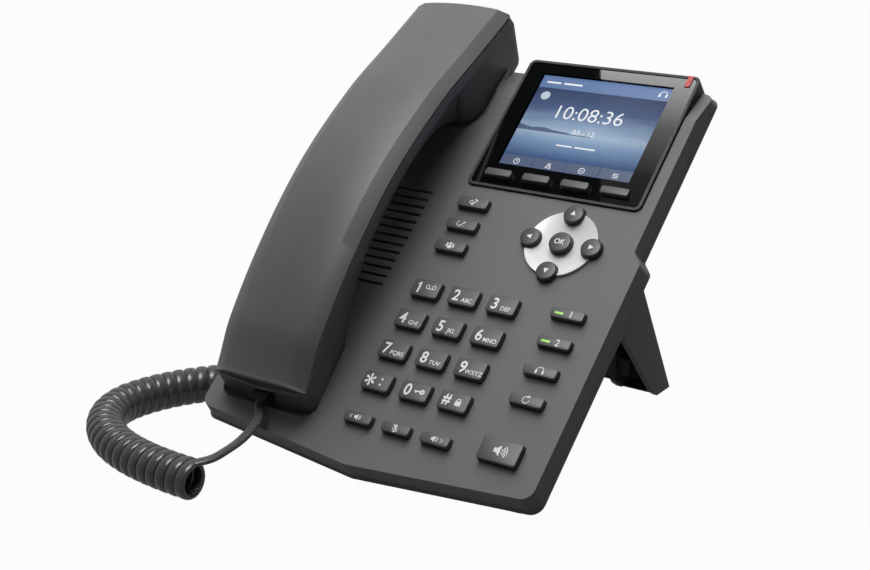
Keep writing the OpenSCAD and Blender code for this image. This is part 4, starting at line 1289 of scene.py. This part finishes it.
@dataclass
class Handset:
    """The handset's two shells, smooth where the part's source has flat steps. "half" is a half width."""

    x: float = -51.6
    mouth_y: float = -67.5
    mouth_high: float = -30.0
    grip_y: float = 38.0
    ear_low: float = 89.0
    ear_y: float = 142.0
    mouth_z: float = -3.7
    ear_z: float = -11.2
    part_mouth_half: float = 25.0
    throat_half: float = 21.0
    mouth_swell: float = 4.3
    grip_half: float = 20.5
    ear_half: float = 26.0
    end_half: float = 27.0
    cup_r: float = 11.0
    chamfer: float = 4.2
    band: float = 4.2
    crown: float = 2.0
    gap: float = 0.2
    edge: float = 0.9
    mouth_lean: float = 8.0
    ear_lean: float = 23.0
    mouth_bow: float = 2.4
    bow_half: float = 25.3
    microphone_y: float = -41.0
    receiver_y: float = 112.0
    stations: int = 120
    back_line: tuple[Point2, ...] = ((-72, 12), (-40, 23.1), (0, 31.1), (38, 33.8), (80, 30.3), (112, 23.6),
                                     (146, 16.6))
    under_line: tuple[Point2, ...] = ((-40, -5), (-34, -3.7), (-28, 0.8), (-20, 5), (-10, 9.3), (10, 15), (38, 17.5),
                                      (58, 16.5), (68, 13.6), (76, 9.2), (82, 5), (86, 1.3), (88.8, -2))

    def back_z(self, y: float) -> float:
        """Height of the back's edge line."""
        return curve(self.back_line, y)

    def part_half(self, y: float) -> float:
        """Half width at the parting line."""
        return self.part_mouth_half + 1.4 * (y + 60) / 190

    def back_half(self, y: float) -> float:
        """Half width at the back's edge line."""
        return self.part_half(y) - self.chamfer - 2.6 + 1.2 * ease(-60, 130, y)

    def part_z(self, y: float) -> float:
        """Height of the parting line."""
        return self.back_z(y) - self.chamfer

    def under_z(self, y: float) -> float:
        """Height of the underside.

        Args:
            y: place along the handset.

        Returns:
            It in millimetres.
        """
        if y < self.mouth_high - 6:
            return self.mouth_z
        if y > self.ear_low:
            return self.ear_z
        return max(self.mouth_z if y < self.grip_y else self.ear_z, curve(self.under_line, y))

    def under_half(self, y: float) -> float:
        """Half width of the underside.

        Args:
            y: place along the handset.

        Returns:
            It in millimetres.
        """
        if y > self.ear_low:
            d = max(0.0, self.ear_low + self.cup_r - y)
            return self.ear_half - self.cup_r + math.sqrt(self.cup_r**2 - d * d)
        if y > self.grip_y:
            change = self.ear_half - self.cup_r + 1 - self.grip_half
            return self.grip_half + change * ease(60, self.ear_low, y)
        if y > self.mouth_high:
            return self.grip_half + 0.5 * (1 - ease(self.mouth_high, 10, y))
        return self.throat_half + self.mouth_swell * min(1.0, (self.mouth_high - y)
                                                         / (self.mouth_high - self.mouth_y - 8))

    def outer_line(self, y: float) -> list[Point2]:
        """Right half of the outer shell's section, from the parting line to the crown.

        Args:
            y: place along the handset.

        Returns:
            The section's points.
        """
        hp, zp, hb, zb = self.part_half(y), self.part_z(y), self.back_half(y), self.back_z(y)
        crown = [(hb * k, zb + self.crown * (1 - k**2.2), 0.0) for k in (0.9, 0.75, 0.6, 0.45, 0.3, 0.15)]
        return filleted([(0.0, zp, 0), (hp - 0.5, zp, 0), (hp, zp + 0.5, 0.3), (hb, zb, 0), *crown,
                         (0.0, zb + self.crown, 0)])

    def inner_line(self, y: float) -> list[Point2]:
        """Right half of the inner shell's section, from the underside to the parting line.

        Args:
            y: place along the handset.

        Returns:
            The section's points.
        """
        hp, zp, uh, uz = self.part_half(y), self.part_z(y), self.under_half(y), self.under_z(y)
        return filleted([(0.0, uz, 0), (uh * 0.5, uz, 0), (uh, uz, 3.0), (hp + 0.5, zp - self.band, 0.5),
                         (hp, zp - self.gap - 0.4, 0.3), (hp - 0.5, zp - self.gap, 0), (0.0, zp - self.gap, 0)])

    def ring(self, y: float, line: list[Point2], turn: float, side: int) -> list[Vector]:
        """One ring of a shell: rounded in plan at the ends and leaning with the end faces.

        Args:
            y: place along the handset.
            line: right half of the section.
            turn: how far round the rounded edge of an end face the ring lies, in radians.
            side: -1 at the mouth end and 1 at the ear end.

        Returns:
            The ring's points in face frame metres.
        """
        inset, push = self.edge * (1 - math.cos(turn)), side * self.edge * math.sin(turn)
        half = max(p[0] for p in line)
        low, high = min(p[1] for p in line), max(p[1] for p in line)
        mid = (low + high) / 2
        room = half
        for end, r in ((self.mouth_y - 1.2, 7.0), (self.ear_y + 0.4, 3.0)):
            d = abs(y - end)
            if d < r:
                room = min(room, self.end_half - r + math.sqrt(max(0.0, r * r - (r - d) ** 2)))
        sx = (room - inset) / half
        sz = 1 - 2 * inset / (high - low)
        lean_low = 1 - ease(self.mouth_y, self.mouth_y + 26, y)
        lean_high = ease(self.ear_y - 24, self.ear_y, y)
        out = []
        for px, pz in [*line, *[(-p[0], p[1]) for p in line[::-1][1:-1]]]:
            z = mid + (pz - mid) * sz
            bow = self.mouth_bow * min(1.4, (px * sx / self.bow_half) ** 2)
            shift = (lean_low * (z * math.tan(math.radians(self.mouth_lean)) + bow)
                     + lean_high * min(0.0, z - 7) * math.tan(math.radians(self.ear_lean)))
            out.append(Vector(((self.x + px * sx) * MM, (y + push + shift) * MM, z * MM)))
        return out

    def shell(self, name: str, line: Callable[[float], list[Point2]]) -> Object:
        """Lofts one shell from the mouth end to the ear end, with rounded end faces.

        Args:
            name: the new object's name.
            line: gives the section's right half at a place.

        Returns:
            The shell, in the face frame.
        """
        reach = self.ear_y - self.mouth_y - 2 * self.edge
        spots = [self.mouth_y + self.edge + k * reach / self.stations for k in range(self.stations + 1)]
        close = [self.ear_low + d for d in (-0.2, 0.05, 0.6, 1.4)] + [self.mouth_y + d for d in (2.2, 3.4)]
        spots = sorted({*spots, *close})
        turns = [math.radians(a) for a in (90, 75, 60, 45, 30, 15)]
        rings = [self.ring(spots[0], line(spots[0]), a, -1) for a in turns]
        rings += [self.ring(y, line(y), 0.0, 1) for y in spots]
        rings += [self.ring(spots[-1], line(spots[-1]), a, 1) for a in reversed(turns)]
        return sleeve(name, rings)

    def build(self, paint: Palette) -> None:
        """Models both shells and cuts the cord hole and the sound holes.

        Args:
            paint: the phone's finishes.
        """
        outer = self.shell("handset_back", self.outer_line)
        inner = self.shell("handset_front", self.inner_line)
        cutters = [block("hole", 10.5, 9.0, 1.4, 0.15, 6.3, 0.0, (self.x, self.mouth_y - 0.8))]
        spots = [(self.x + 6 * math.cos(i * math.pi / 3), self.receiver_y + 6 * math.sin(i * math.pi / 3))
                 for i in range(6)]
        cutters += [drum("hole", 1.1, self.ear_z - 1, self.ear_z + 2, 0, at, 20)
                    for at in (*spots, (self.x, self.receiver_y))]
        cutters.append(drum("hole", 1.0, self.mouth_z - 1, self.mouth_z + 2, 0, (self.x, self.microphone_y), 20))
        for o in (outer, inner):
            finish_mesh(o, 50.0, outward=True)
        carve(inner, cutters)
        for o, node, smooth in ((outer, "handset_outer_shell", 17.0), (inner, "handset_inner_shell", 32.0)):
            put(finish_mesh(o, smooth), paint["handset_plastic"], "handset", "handset_plastic", node)
        log.info("handset shells")


# ---------------------------------------------------------------- display


@dataclass
class Display:
    """The lit picture behind the window, with its bar, tabs, clock figures and signs."""

    x: float = SCREEN_MIDDLE[0]
    y: float = SCREEN_MIDDLE[1]
    w: float = SCREEN_SIZE[0]
    h: float = SCREEN_SIZE[1]
    z: float = -1.02
    bar_h: float = 6.9
    tab_h: float = 6.5
    ink: float = 0.03
    clock_at: Point2 = (29.2, 102.1)
    date_at: Point2 = (30.2, 92.2)
    line_at: Point2 = (29.8, 84.2)
    title_at: Point2 = (0.2, 117.9)

    def picture(self) -> Object:
        """The picture's sheet with its UV map.

        Returns:
            The sheet, in the face frame.
        """
        fresh()
        bpy.ops.mesh.primitive_grid_add(x_subdivisions=16, y_subdivisions=12, size=1.0)
        pic = named(bpy.context.object, "screen_picture")
        uv = pic.data.uv_layers.new(name="screen")
        for loop in pic.data.loops:
            co = pic.data.vertices[loop.vertex_index].co
            uv.data[loop.index].uv = (co.x + 0.5, co.y + 0.5)
        for other in [u for u in pic.data.uv_layers if u.name != "screen"]:
            pic.data.uv_layers.remove(other)
        pic.data.transform(Matrix.Translation((self.x * MM, self.y * MM, self.z * MM))
                           @ Matrix.Diagonal((self.w * MM, self.h * MM, 1, 1)))
        return pic

    def build(self, paint: Palette) -> None:
        """Models the picture and what it shows.

        Args:
            paint: the phone's finishes.
        """
        left, low, top = self.x - self.w / 2, self.y - self.h / 2, self.y + self.h / 2
        tab, z, ink = self.w / 4, self.z + 0.08, self.ink
        bar_y, tab_y = top - self.bar_h / 2, low + self.tab_h / 2
        sheet = (0, self.z + 0.01, self.z + 0.05, 0.01)
        made = [(self.picture(), "screen_picture"),
                (block("screen_bar", self.w, self.bar_h, *sheet, (self.x, bar_y)), "screen_bar")]
        tabs = [(left + tab * (i + 0.5), tab_y) for i in range(4)]
        made += [(block("screen_tab_%d" % (i + 1), tab - 0.45, self.tab_h, *sheet, at), "screen_tab")
                 for i, at in enumerate(tabs)]
        lines = Glyph().bar(-9.6, 0, -1.8, 0, 0.75).bar(-0.4, 0, 9.6, 0, 0.75)
        title = Glyph().bar(0, 0, 7.2, 0, 0.95).bar(8.8, 0, 18.2, 0, 0.95)
        headset_at = (self.x + self.w / 2 - 4.2, bar_y, z)
        disc_at = (left + 5.6, self.y + 14.6, z - 0.03)
        made += [(named(lettering("10:08:36", 7.2, (*self.clock_at, z), ink, -0.05), "screen_clock"), "screen_white"),
                 (named(lettering("03 - 12", 2.7, (*self.date_at, z), ink), "screen_date"), "screen_white"),
                 (lines.piece("screen_line", (*self.line_at, z), 1.0, ink), "screen_white"),
                 (title.piece("screen_title", (*self.title_at, z), 1.0, ink), "screen_white"),
                 (Sign.HEADSET.draw().piece("screen_headset", headset_at, 1.35, ink), "screen_white"),
                 *[(sign.draw().piece("screen_sign_%d" % (i + 1), (*tabs[i], z), 1.15, ink), "screen_white")
                   for i, sign in enumerate((Sign.CLOCK, Sign.BOOK, Sign.MOON, Sign.LIST))],
                 (Glyph().disc(0, 0, 2.3, 32).piece("screen_disc", disc_at, 1.0, 0.02), "screen_disc")]
        for o, finish in made:
            put(o, paint[finish], "base", "lcd")
        log.info("lit picture with %d pieces", len(made))


# ---------------------------------------------------------------- cord


@dataclass
class CurlyCord:
    """The handset cord: a lead, a coil of flat wire and a tail into the base's side jack, in row frame millimetres."""

    coil_r: float = 7.15
    thick: float = 2.5
    wide: float = 5.25
    lead_wide: float = 4.3
    pitch: float = 5.4
    height: float = 8.45
    last_turn: float = 0.75
    turn_points: int = 24
    fade_points: int = 8
    sides: int = 14
    squareness: float = 0.9
    route: tuple[Point2, ...] = ((-39, -131), (-53, -131), (-66, -130), (-80, -127.5), (-94, -122.5), (-106, -114.5),
                                 (-114.5, -104), (-118, -92.5), (-117, -81), (-113.5, -70), (-108, -59.5), (-100, -49))
    lead: tuple[Point3, ...] = ((-51.6, -76.9, 20.45), (-50.6, -78.6, 19.4), (-47.6, -82.2, 18.3), (-44, -87.2, 17.9),
                                (-38.9, -97.3, 17.9), (-35.2, -108, 17.8), (-34, -117, 17.4), (-35, -124.6, 16.3))
    tail: tuple[Point3, ...] = ((-93.6, -51.6, 13.4), (-90.2, -47.8, 17.6), (-85, -45.6, 20.1), (-79, -45.3, 20.8),
                                (-73.6, -45.3, 20.8))

    @staticmethod
    def smooth(points: Sequence[Vector], step: float) -> list[Vector]:
        """Points about a step apart, in millimetres, on a smooth line through the given ones.

        Args:
            points: the points to pass through.
            step: the distance aimed at.

        Returns:
            The line's points.
        """
        p = [points[0] * 2 - points[1], *points, points[-1] * 2 - points[-2]]
        out: list[Vector] = []
        for a, b, c, d in zip(p, p[1:], p[2:], p[3:]):
            n = max(2, round((c - b).length / step))
            for k in range(n):
                t = k / n
                out.append(0.5 * (2 * b + (c - a) * t + (2 * a - 5 * b + 4 * c - d) * t * t
                                  + (3 * b - a - 3 * c + d) * t**3))
        return [*out, points[-1].copy()]

    def centre(self) -> tuple[list[Vector], list[Vector], list[float], int]:
        """The wire's centreline point by point.

        Returns:
            The points in millimetres, the outward direction at each, how far each is coiled from 0 to 1, and the
            number of the point at which the coil starts.
        """
        axis = self.smooth([Vector((x, y, self.height)) for x, y in self.route], 1.0)
        along = [0.0]
        for a, b in zip(axis, axis[1:]):
            along.append(along[-1] + (b - a).length)
        turns = round(along[-1] / self.pitch) + self.last_turn
        count = round(turns * self.turn_points)
        up = Vector((0, 0, 1))
        coil: list[Vector] = []
        out: list[Vector] = []
        for i in range(count + 1):
            s = along[-1] * i / count
            j = max(k for k in range(len(along) - 1) if along[k] <= s + 1e-9)
            t = (s - along[j]) / (along[j + 1] - along[j])
            c = axis[j].lerp(axis[j + 1], t)
            before, after = axis[max(j - 2, 0)], axis[min(j + 3, len(axis) - 1)]
            side = up.cross((after - before).normalized())
            a = math.tau * turns * i / count
            out.append(up * math.cos(a) + side * math.sin(a))
            coil.append(c + out[-1] * self.coil_r)
        lead = self.smooth([Vector(p) for p in self.lead] + [coil[0]], 2.0)[:-1]
        tail = self.smooth([coil[-1]] + [Vector(p) for p in self.tail], 2.0)[1:]
        coiled = ([ease(len(lead) - self.fade_points, len(lead), i) for i in range(len(lead))] + [1.0] * len(coil)
                  + [1 - ease(0, self.fade_points, i) for i in range(len(tail))])
        return lead + coil + tail, [up] * len(lead) + out + [up] * len(tail), coiled, len(lead)

    def section(self, line: list[Vector], i: int, outward: Vector, coiled: float) -> list[Vector]:
        """The flat wire's outline round one point of its centreline, in metres.

        Args:
            line: the centreline in millimetres.
            i: the point's number.
            outward: the direction away from the coil's axis.
            coiled: how far the wire is coiled there.

        Returns:
            The outline's points.
        """
        t = (line[min(i + 1, len(line) - 1)] - line[max(i - 1, 0)]).normalized()
        n = (outward - t * outward.dot(t)).normalized()
        b = t.cross(n)
        w, h = (self.lead_wide + (self.wide - self.lead_wide) * coiled) / 2, self.thick / 2
        ring = []
        for k in range(self.sides):
            a = math.tau * k / self.sides
            cx, sy = (math.copysign(abs(v) ** self.squareness, v) for v in (math.cos(a), math.sin(a)))
            ring.append((line[i] + b * w * cx + n * h * sy) * MM)
        return ring

    @staticmethod
    def declare(wire: Object, line: list[Vector], wide: float, lay: str, plug: str) -> float:
        """Measures the length of a stretch of wire along its line.

        Args:
            wire: the stretch's finished mesh; not used.
            line: its centreline in millimetres.
            wide: the flat wire's width in millimetres; not used.
            lay: how the stretch lies; not used.
            plug: the CAD node at its end; not used.

        Returns:
            The stretch's length in metres.
        """
        path = [p * MM for p in reversed(line)]
        length = sum((b - a).length for a, b in zip(path, path[1:]))
        wide * MM
        return length

    def build(self, paint: Palette) -> None:
        """Sweeps the wire into its curly part and the lead that bends up to the handset, and measures their lengths.

        Args:
            paint: the phone's finishes.
        """
        line, outward, coiled, start = self.centre()
        rings = [self.section(line, i, outward[i], coiled[i]) for i in range(len(line))]
        curly = finish_mesh(sleeve("handset_cord", rings[start:]), 60.0, outward=True)
        wear(curly, paint["cord_jacket"])
        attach(curly, "base")
        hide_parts("cord_coil", "cord_tail")
        curly_length = self.declare(curly, line[start:], self.wide, "coiled", "base_plug")
        lead = finish_mesh(sleeve("handset_cord_lead", rings[:start + 1]), 60.0, outward=True)
        wear(lead, paint["cord_jacket"])
        line[start] * MM
        line[0] * MM
        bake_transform(lead)
        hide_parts("cord_lead")
        lead_length = self.declare(lead, line[:start + 1], self.lead_wide, "loose", "handset_plug")
        log.info("cord of %.3f m and lead of %.3f m", curly_length, lead_length)


# ---------------------------------------------------------------- CAD pieces, sockets, studio


CAD_LOOKS: dict[str, str] = {
    "front_cover": "case_plastic", "rear_cover": "rear_plastic", "display_housing": "head_plastic",
    "display_glass": "window_glass", "lcd_panel": "panel_frame", "message_lamp": "red_lens",
    "nav_ring": "ring_plastic", "keypad_mat": "key_silicone", "main_board": "board_green",
    "loudspeaker": "speaker_paper", "hook_plunger": "black_plastic", "hook_switch": "black_plastic",
    "ear_receiver": "speaker_paper", "handset_microphone": "jack_metal", "handset_jack": "black_plastic",
    "handset_plug": "smoky_plug", "base_plug": "plug_plastic", "network_jacks": "jack_metal",
    "side_jacks": "black_plastic", "power_jack": "black_plastic", "stand": "stand_plastic",
    "rubber_feet": "feet_rubber", "case_screws": "screw_steel", "handset_outer_shell": "handset_plastic",
    "handset_inner_shell": "handset_plastic", "cord_lead": "cord_jacket", "cord_coil": "cord_jacket",
    "cord_tail": "cord_jacket"}


@dataclass
class SocketPins:
    """The rows of sprung contacts inside the network and headset sockets; size is wire width, run and rise."""

    network_x: Point2 = (16.0, 36.0)
    network_low: Point2 = (-1.5, -14.4)
    headset_at: Point3 = (-64.5, -24.0, -15.9)
    network_size: Point3 = (0.4, 7.0, 2.2)
    headset_size: Point3 = (0.4, 6.0, 1.2)

    @staticmethod
    def row(name: str, count: int, pitch: float, size: Point3, place: Matrix, paint: Palette) -> None:
        """Adds a row of bent contact wires.

        Args:
            name: the new object's name.
            count: how many wires.
            pitch: their spacing in mm.
            size: wire width, run and rise in mm.
            place: from the row's own frame, in metres, to the face frame.
            paint: the phone's finishes.
        """
        parts = []
        for i in range(count):
            wire = block("wire", size[0], size[1], 0.0, 0.0, size[0], 0.1, ((i - (count - 1) / 2) * pitch, 0.0))
            wire.data.transform(Matrix.Rotation(math.atan2(size[2], size[1]), 4, "X"))
            parts.append(wire)
        o = finish_mesh(join(parts, name))
        o.data.transform(place)
        put(o, paint["contact_gold"], "base", "jack_metal")

    def build(self, paint: Palette) -> None:
        """Adds the contacts of the two network sockets and the free headset socket.

        Args:
            paint: the phone's finishes.
        """
        for i, x in enumerate(self.network_x):
            place = Matrix.Translation((x * MM, self.network_low[0] * MM, self.network_low[1] * MM))
            self.row("network_contacts_%d" % (i + 1), 8, 1.02, self.network_size, place, paint)
        place = Matrix.Translation([v * MM for v in self.headset_at]) @ Matrix.Rotation(math.radians(-90), 4, "Z")
        self.row("headset_contacts", 4, 1.27, self.headset_size, place, paint)
        log.info("socket contacts")


@dataclass
class Studio:
    """White paper floor and surround, a dark ceiling, a soft lamp from above and behind, and a card for the gloss."""

    surround: float = 0.115
    seen_white: float = 0.97
    gloss_white: float = 0.4
    floor_shade: float = 0.1
    ceiling_shade: float = 0.05
    key_power: float = 42.0
    key_place: Point3 = (-0.4, 0.42, 1.4)
    key_size: float = 1.4
    shine_power: float = 18.0
    shine_place: Point3 = (-0.05, -0.4, 1.35)
    shine_size: float = 0.7
    lamp_aim: Point3 = (0.0, 0.0, 0.08)
    card_far: float = 0.8
    card_strength: float = 9.0
    card_points: tuple[Point2, ...] = ((601.0, 52.0), (745.0, 52.0), (745.0, 232.0), (601.0, 232.0))
    card_tones: tuple[Point2, ...] = ((0.0, 0.01), (0.3, 0.04), (0.55, 0.22), (0.8, 0.75), (1.0, 1.0))

    def lamp(self, name: str, place: Point3, size: float, power: float) -> Object:
        """Adds one soft square lamp.

        Args:
            name: its name.
            place: where it hangs, in metres.
            size: length of its side.
            power: its power in watts.

        Returns:
            The lamp.
        """
        data = bpy.data.lights.new(name, "AREA")
        data.shape, data.size, data.energy = "SQUARE", size, power
        o = bpy.data.objects.new(name, data)
        bpy.context.scene.collection.objects.link(o)
        o.location = place
        o.rotation_mode = "QUATERNION"
        o.rotation_quaternion = (Vector(self.lamp_aim) - Vector(place)).to_track_quat("-Z", "Y")
        return o

    def white_share(self, nodes: Nodes, share: float, soft: Wire, white: Wire) -> Wire:
        """A shader that shows the camera a share of the white one, gloss and glass less, other rays the soft one.

        Args:
            nodes: the tree that it is added to.
            share: the camera's share.
            soft, white: the two shaders.

        Returns:
            The mixed shader.
        """
        path = nodes.tree.nodes.new("ShaderNodeLightPath")
        camera, gloss, glass = (Wire(nodes, path.outputs["Is %s Ray" % n])
                                for n in ("Camera", "Glossy", "Transmission"))
        seen = camera.most(gloss.most(glass) * self.gloss_white)
        return nodes.node("ShaderNodeMixShader", {}, {0: seen * share, 1: soft, 2: white})

    def sheet(self, name: str, size: float, place: Point3, shade_of: float, share: float) -> Object:
        """Adds a level sheet of paper; share is how white the camera and gloss see it.

        Args:
            name: its name.
            size: length of its side in metres.
            place: its middle.
            shade_of: how light the paper is.
            share: the white's share.

        Returns:
            The sheet.
        """
        fresh()
        bpy.ops.mesh.primitive_grid_add(x_subdivisions=2, y_subdivisions=2, size=size, location=place)
        o = bpy.context.object
        o.name = name
        material = bpy.data.materials.new(name + "_paper")
        material.use_nodes = True
        nodes = Nodes(material.node_tree)
        paper = nodes.node("ShaderNodeBsdfDiffuse", {}, {"Color": (shade_of, shade_of, shade_of, 1)})
        if share > 0:
            paper = self.white_share(nodes, share, paper, nodes.node("ShaderNodeEmission", {}, {"Color": (1, 1, 1, 1)}))
        nodes.end("ShaderNodeOutputMaterial", paper)
        wear(o, material)
        o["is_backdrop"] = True
        return o

    def card(self) -> None:
        """Hangs the graded card that the display's glass mirrors in its upper right corner."""
        start, n = Vector(CAMERA.place), FACE.normal
        glass = FACE.at(0, 0, 0.3)
        corners = []
        for x, y in self.card_points:
            d = CAMERA.ray(x, y)
            hit = start + d * ((glass - start).dot(n) / d.dot(n))
            corners.append(hit + (d - n * 2 * d.dot(n)) * self.card_far)
        mesh = bpy.data.meshes.new("gloss_card")
        mesh.from_pydata(corners, [], [[0, 1, 2, 3]])
        uv = mesh.uv_layers.new(name="card")
        for loop, at in zip(uv.data, ((0, 1), (1, 1), (1, 0), (0, 0))):
            loop.uv = at
        o = bpy.data.objects.new("gloss_card", mesh)
        bpy.context.scene.collection.objects.link(o)
        kit = Kit("gloss_card_light")
        u, v = kit.split(kit.node("ShaderNodeUVMap", {"uv_map": "card"}, {}))
        ramp = kit.ramp([(a, (c, c, c)) for a, c in self.card_tones], v * 0.9 + u * 0.1)
        kit.set(Base_Color=(0.0, 0.0, 0.0), Specular_IOR_Level=0.0, Emission_Color=ramp,
                Emission_Strength=self.card_strength)
        wear(o, kit.material)
        o.visible_camera = o.visible_diffuse = o.visible_shadow = False
        o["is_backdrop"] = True

    def world(self) -> None:
        """A white surround for what the camera, gloss and glass see, and a softer one for light."""
        world = bpy.data.worlds.new("studio")
        bpy.context.scene.world = world
        world.use_nodes = True
        nodes = Nodes(world.node_tree)
        soft, white = (nodes.node("ShaderNodeBackground", {}, {"Color": (1, 1, 1, 1), "Strength": strength})
                       for strength in (self.surround, 1.0))
        nodes.end("ShaderNodeOutputWorld", self.white_share(nodes, 1.0, soft, white))

    def build(self) -> None:
        """Builds the floor, ceiling, card, world and lamps."""
        self.sheet("floor", 14.0, (0, 0, -0.0002), self.floor_shade, self.seen_white)
        self.sheet("ceiling", 3.4, (0, 0.2, 1.75), self.ceiling_shade, 0.0).visible_camera = False
        self.card()
        self.world()
        self.lamp("key_lamp", self.key_place, self.key_size, self.key_power).visible_glossy = False
        self.lamp("shine_lamp", self.shine_place, self.shine_size, self.shine_power).visible_diffuse = False
        bpy.context.scene.view_settings.view_transform = "Standard"


# ---------------------------------------------------------------- image points


EDGE_POINTS: dict[str, float] = {"left": 204.5, "right": 714.0, "top": 1.0, "bottom": 514.0}
FEATURE_POINTS: dict[str, Point2] = {
    "dial_1": (426.1, 288.4), "dial_3": (501.9, 304.9), "dial_star": (376.9, 380.7), "dial_hash": (453.7, 401.3),
    "speaker_key": (499.8, 450.8), "volume_down_key": (357.6, 417.7), "line_key_1": (567.2, 314.3),
    "redial_key": (526.0, 399.9), "transfer_key": (472.9, 202.0), "message_lamp": (690.0, 81.0),
    "screen_top_left": (543.4, 75.8), "screen_low_right": (629.6, 183.6)}


def top_middle(obj: Object, depth: float) -> Vector:
    """The middle, in the row frame, of what lies within depth millimetres of a piece's highest face frame point.

    Args:
        obj: the piece.
        depth: how far below the top counts.

    Returns:
        The middle, at the height of the top.
    """
    co = [FACE.back(v.co) for v in obj.data.vertices]
    top = max(c.z for c in co)
    xs, ys = zip(*[(c.x, c.y) for c in co if c.z > top - depth])
    return FACE.at((min(xs) + max(xs)) / 2, (min(ys) + max(ys)) / 2, top)


def write_points(made: dict[str, Object], nodes: dict[str, Object]) -> None:
    """Logs how far each thing shows from its point in the photograph's frame.

    Args:
        made: each key's cap.
        nodes: the CAD nodes.
    """
    cords = {"handset_cord", "handset_cord_lead", "base_plug", "handset_plug"}
    shown = [CAMERA.shows_at(o.matrix_world @ v.co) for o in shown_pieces() if o.name not in cords
             for v in o.data.vertices]
    xs, ys = zip(*shown)
    found = {"left": min(xs), "right": max(xs), "top": min(ys), "bottom": max(ys)}
    rows: dict[str, list[float]] = {k: [round(found[k] - v, 1)] for k, v in EDGE_POINTS.items()}
    d = Display()
    spots = {name: top_middle(made[name], 0.6) for name in FEATURE_POINTS if name in made}
    spots["message_lamp"] = top_middle(nodes["message_lamp"], 0.3)
    spots["screen_top_left"] = FACE.at(d.x - d.w / 2, d.y + d.h / 2, d.z)
    spots["screen_low_right"] = FACE.at(d.x + d.w / 2, d.y - d.h / 2, d.z)
    for name, want in FEATURE_POINTS.items():
        got = CAMERA.shows_at(spots[name])
        rows[name] = [round(got[0] - want[0], 1), round(got[1] - want[1], 1)]
    log.info("points: %s", rows)


def main() -> None:
    """Builds the phone's looks piece by piece."""
    logging.basicConfig(level=logging.INFO, format="%(name)s: %(message)s")
    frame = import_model()
    nodes: dict[str, Object] = frame["nodes"]
    CAMERA.build()
    paint: Palette = {finish.name: finish.material() for finish in FINISHES}
    for name, node in nodes.items():
        wear(node, paint[CAD_LOOKS.get(name, "key_plastic")])
    CurlyCord().build(paint)
    Handset().build(paint)
    made = KeyField().build(paint)
    Display().build(paint)
    SocketPins().build(paint)
    Studio().build()
    bpy.context.view_layer.update()
    write_points(made, nodes)


if __name__ == "__main__":
    main()
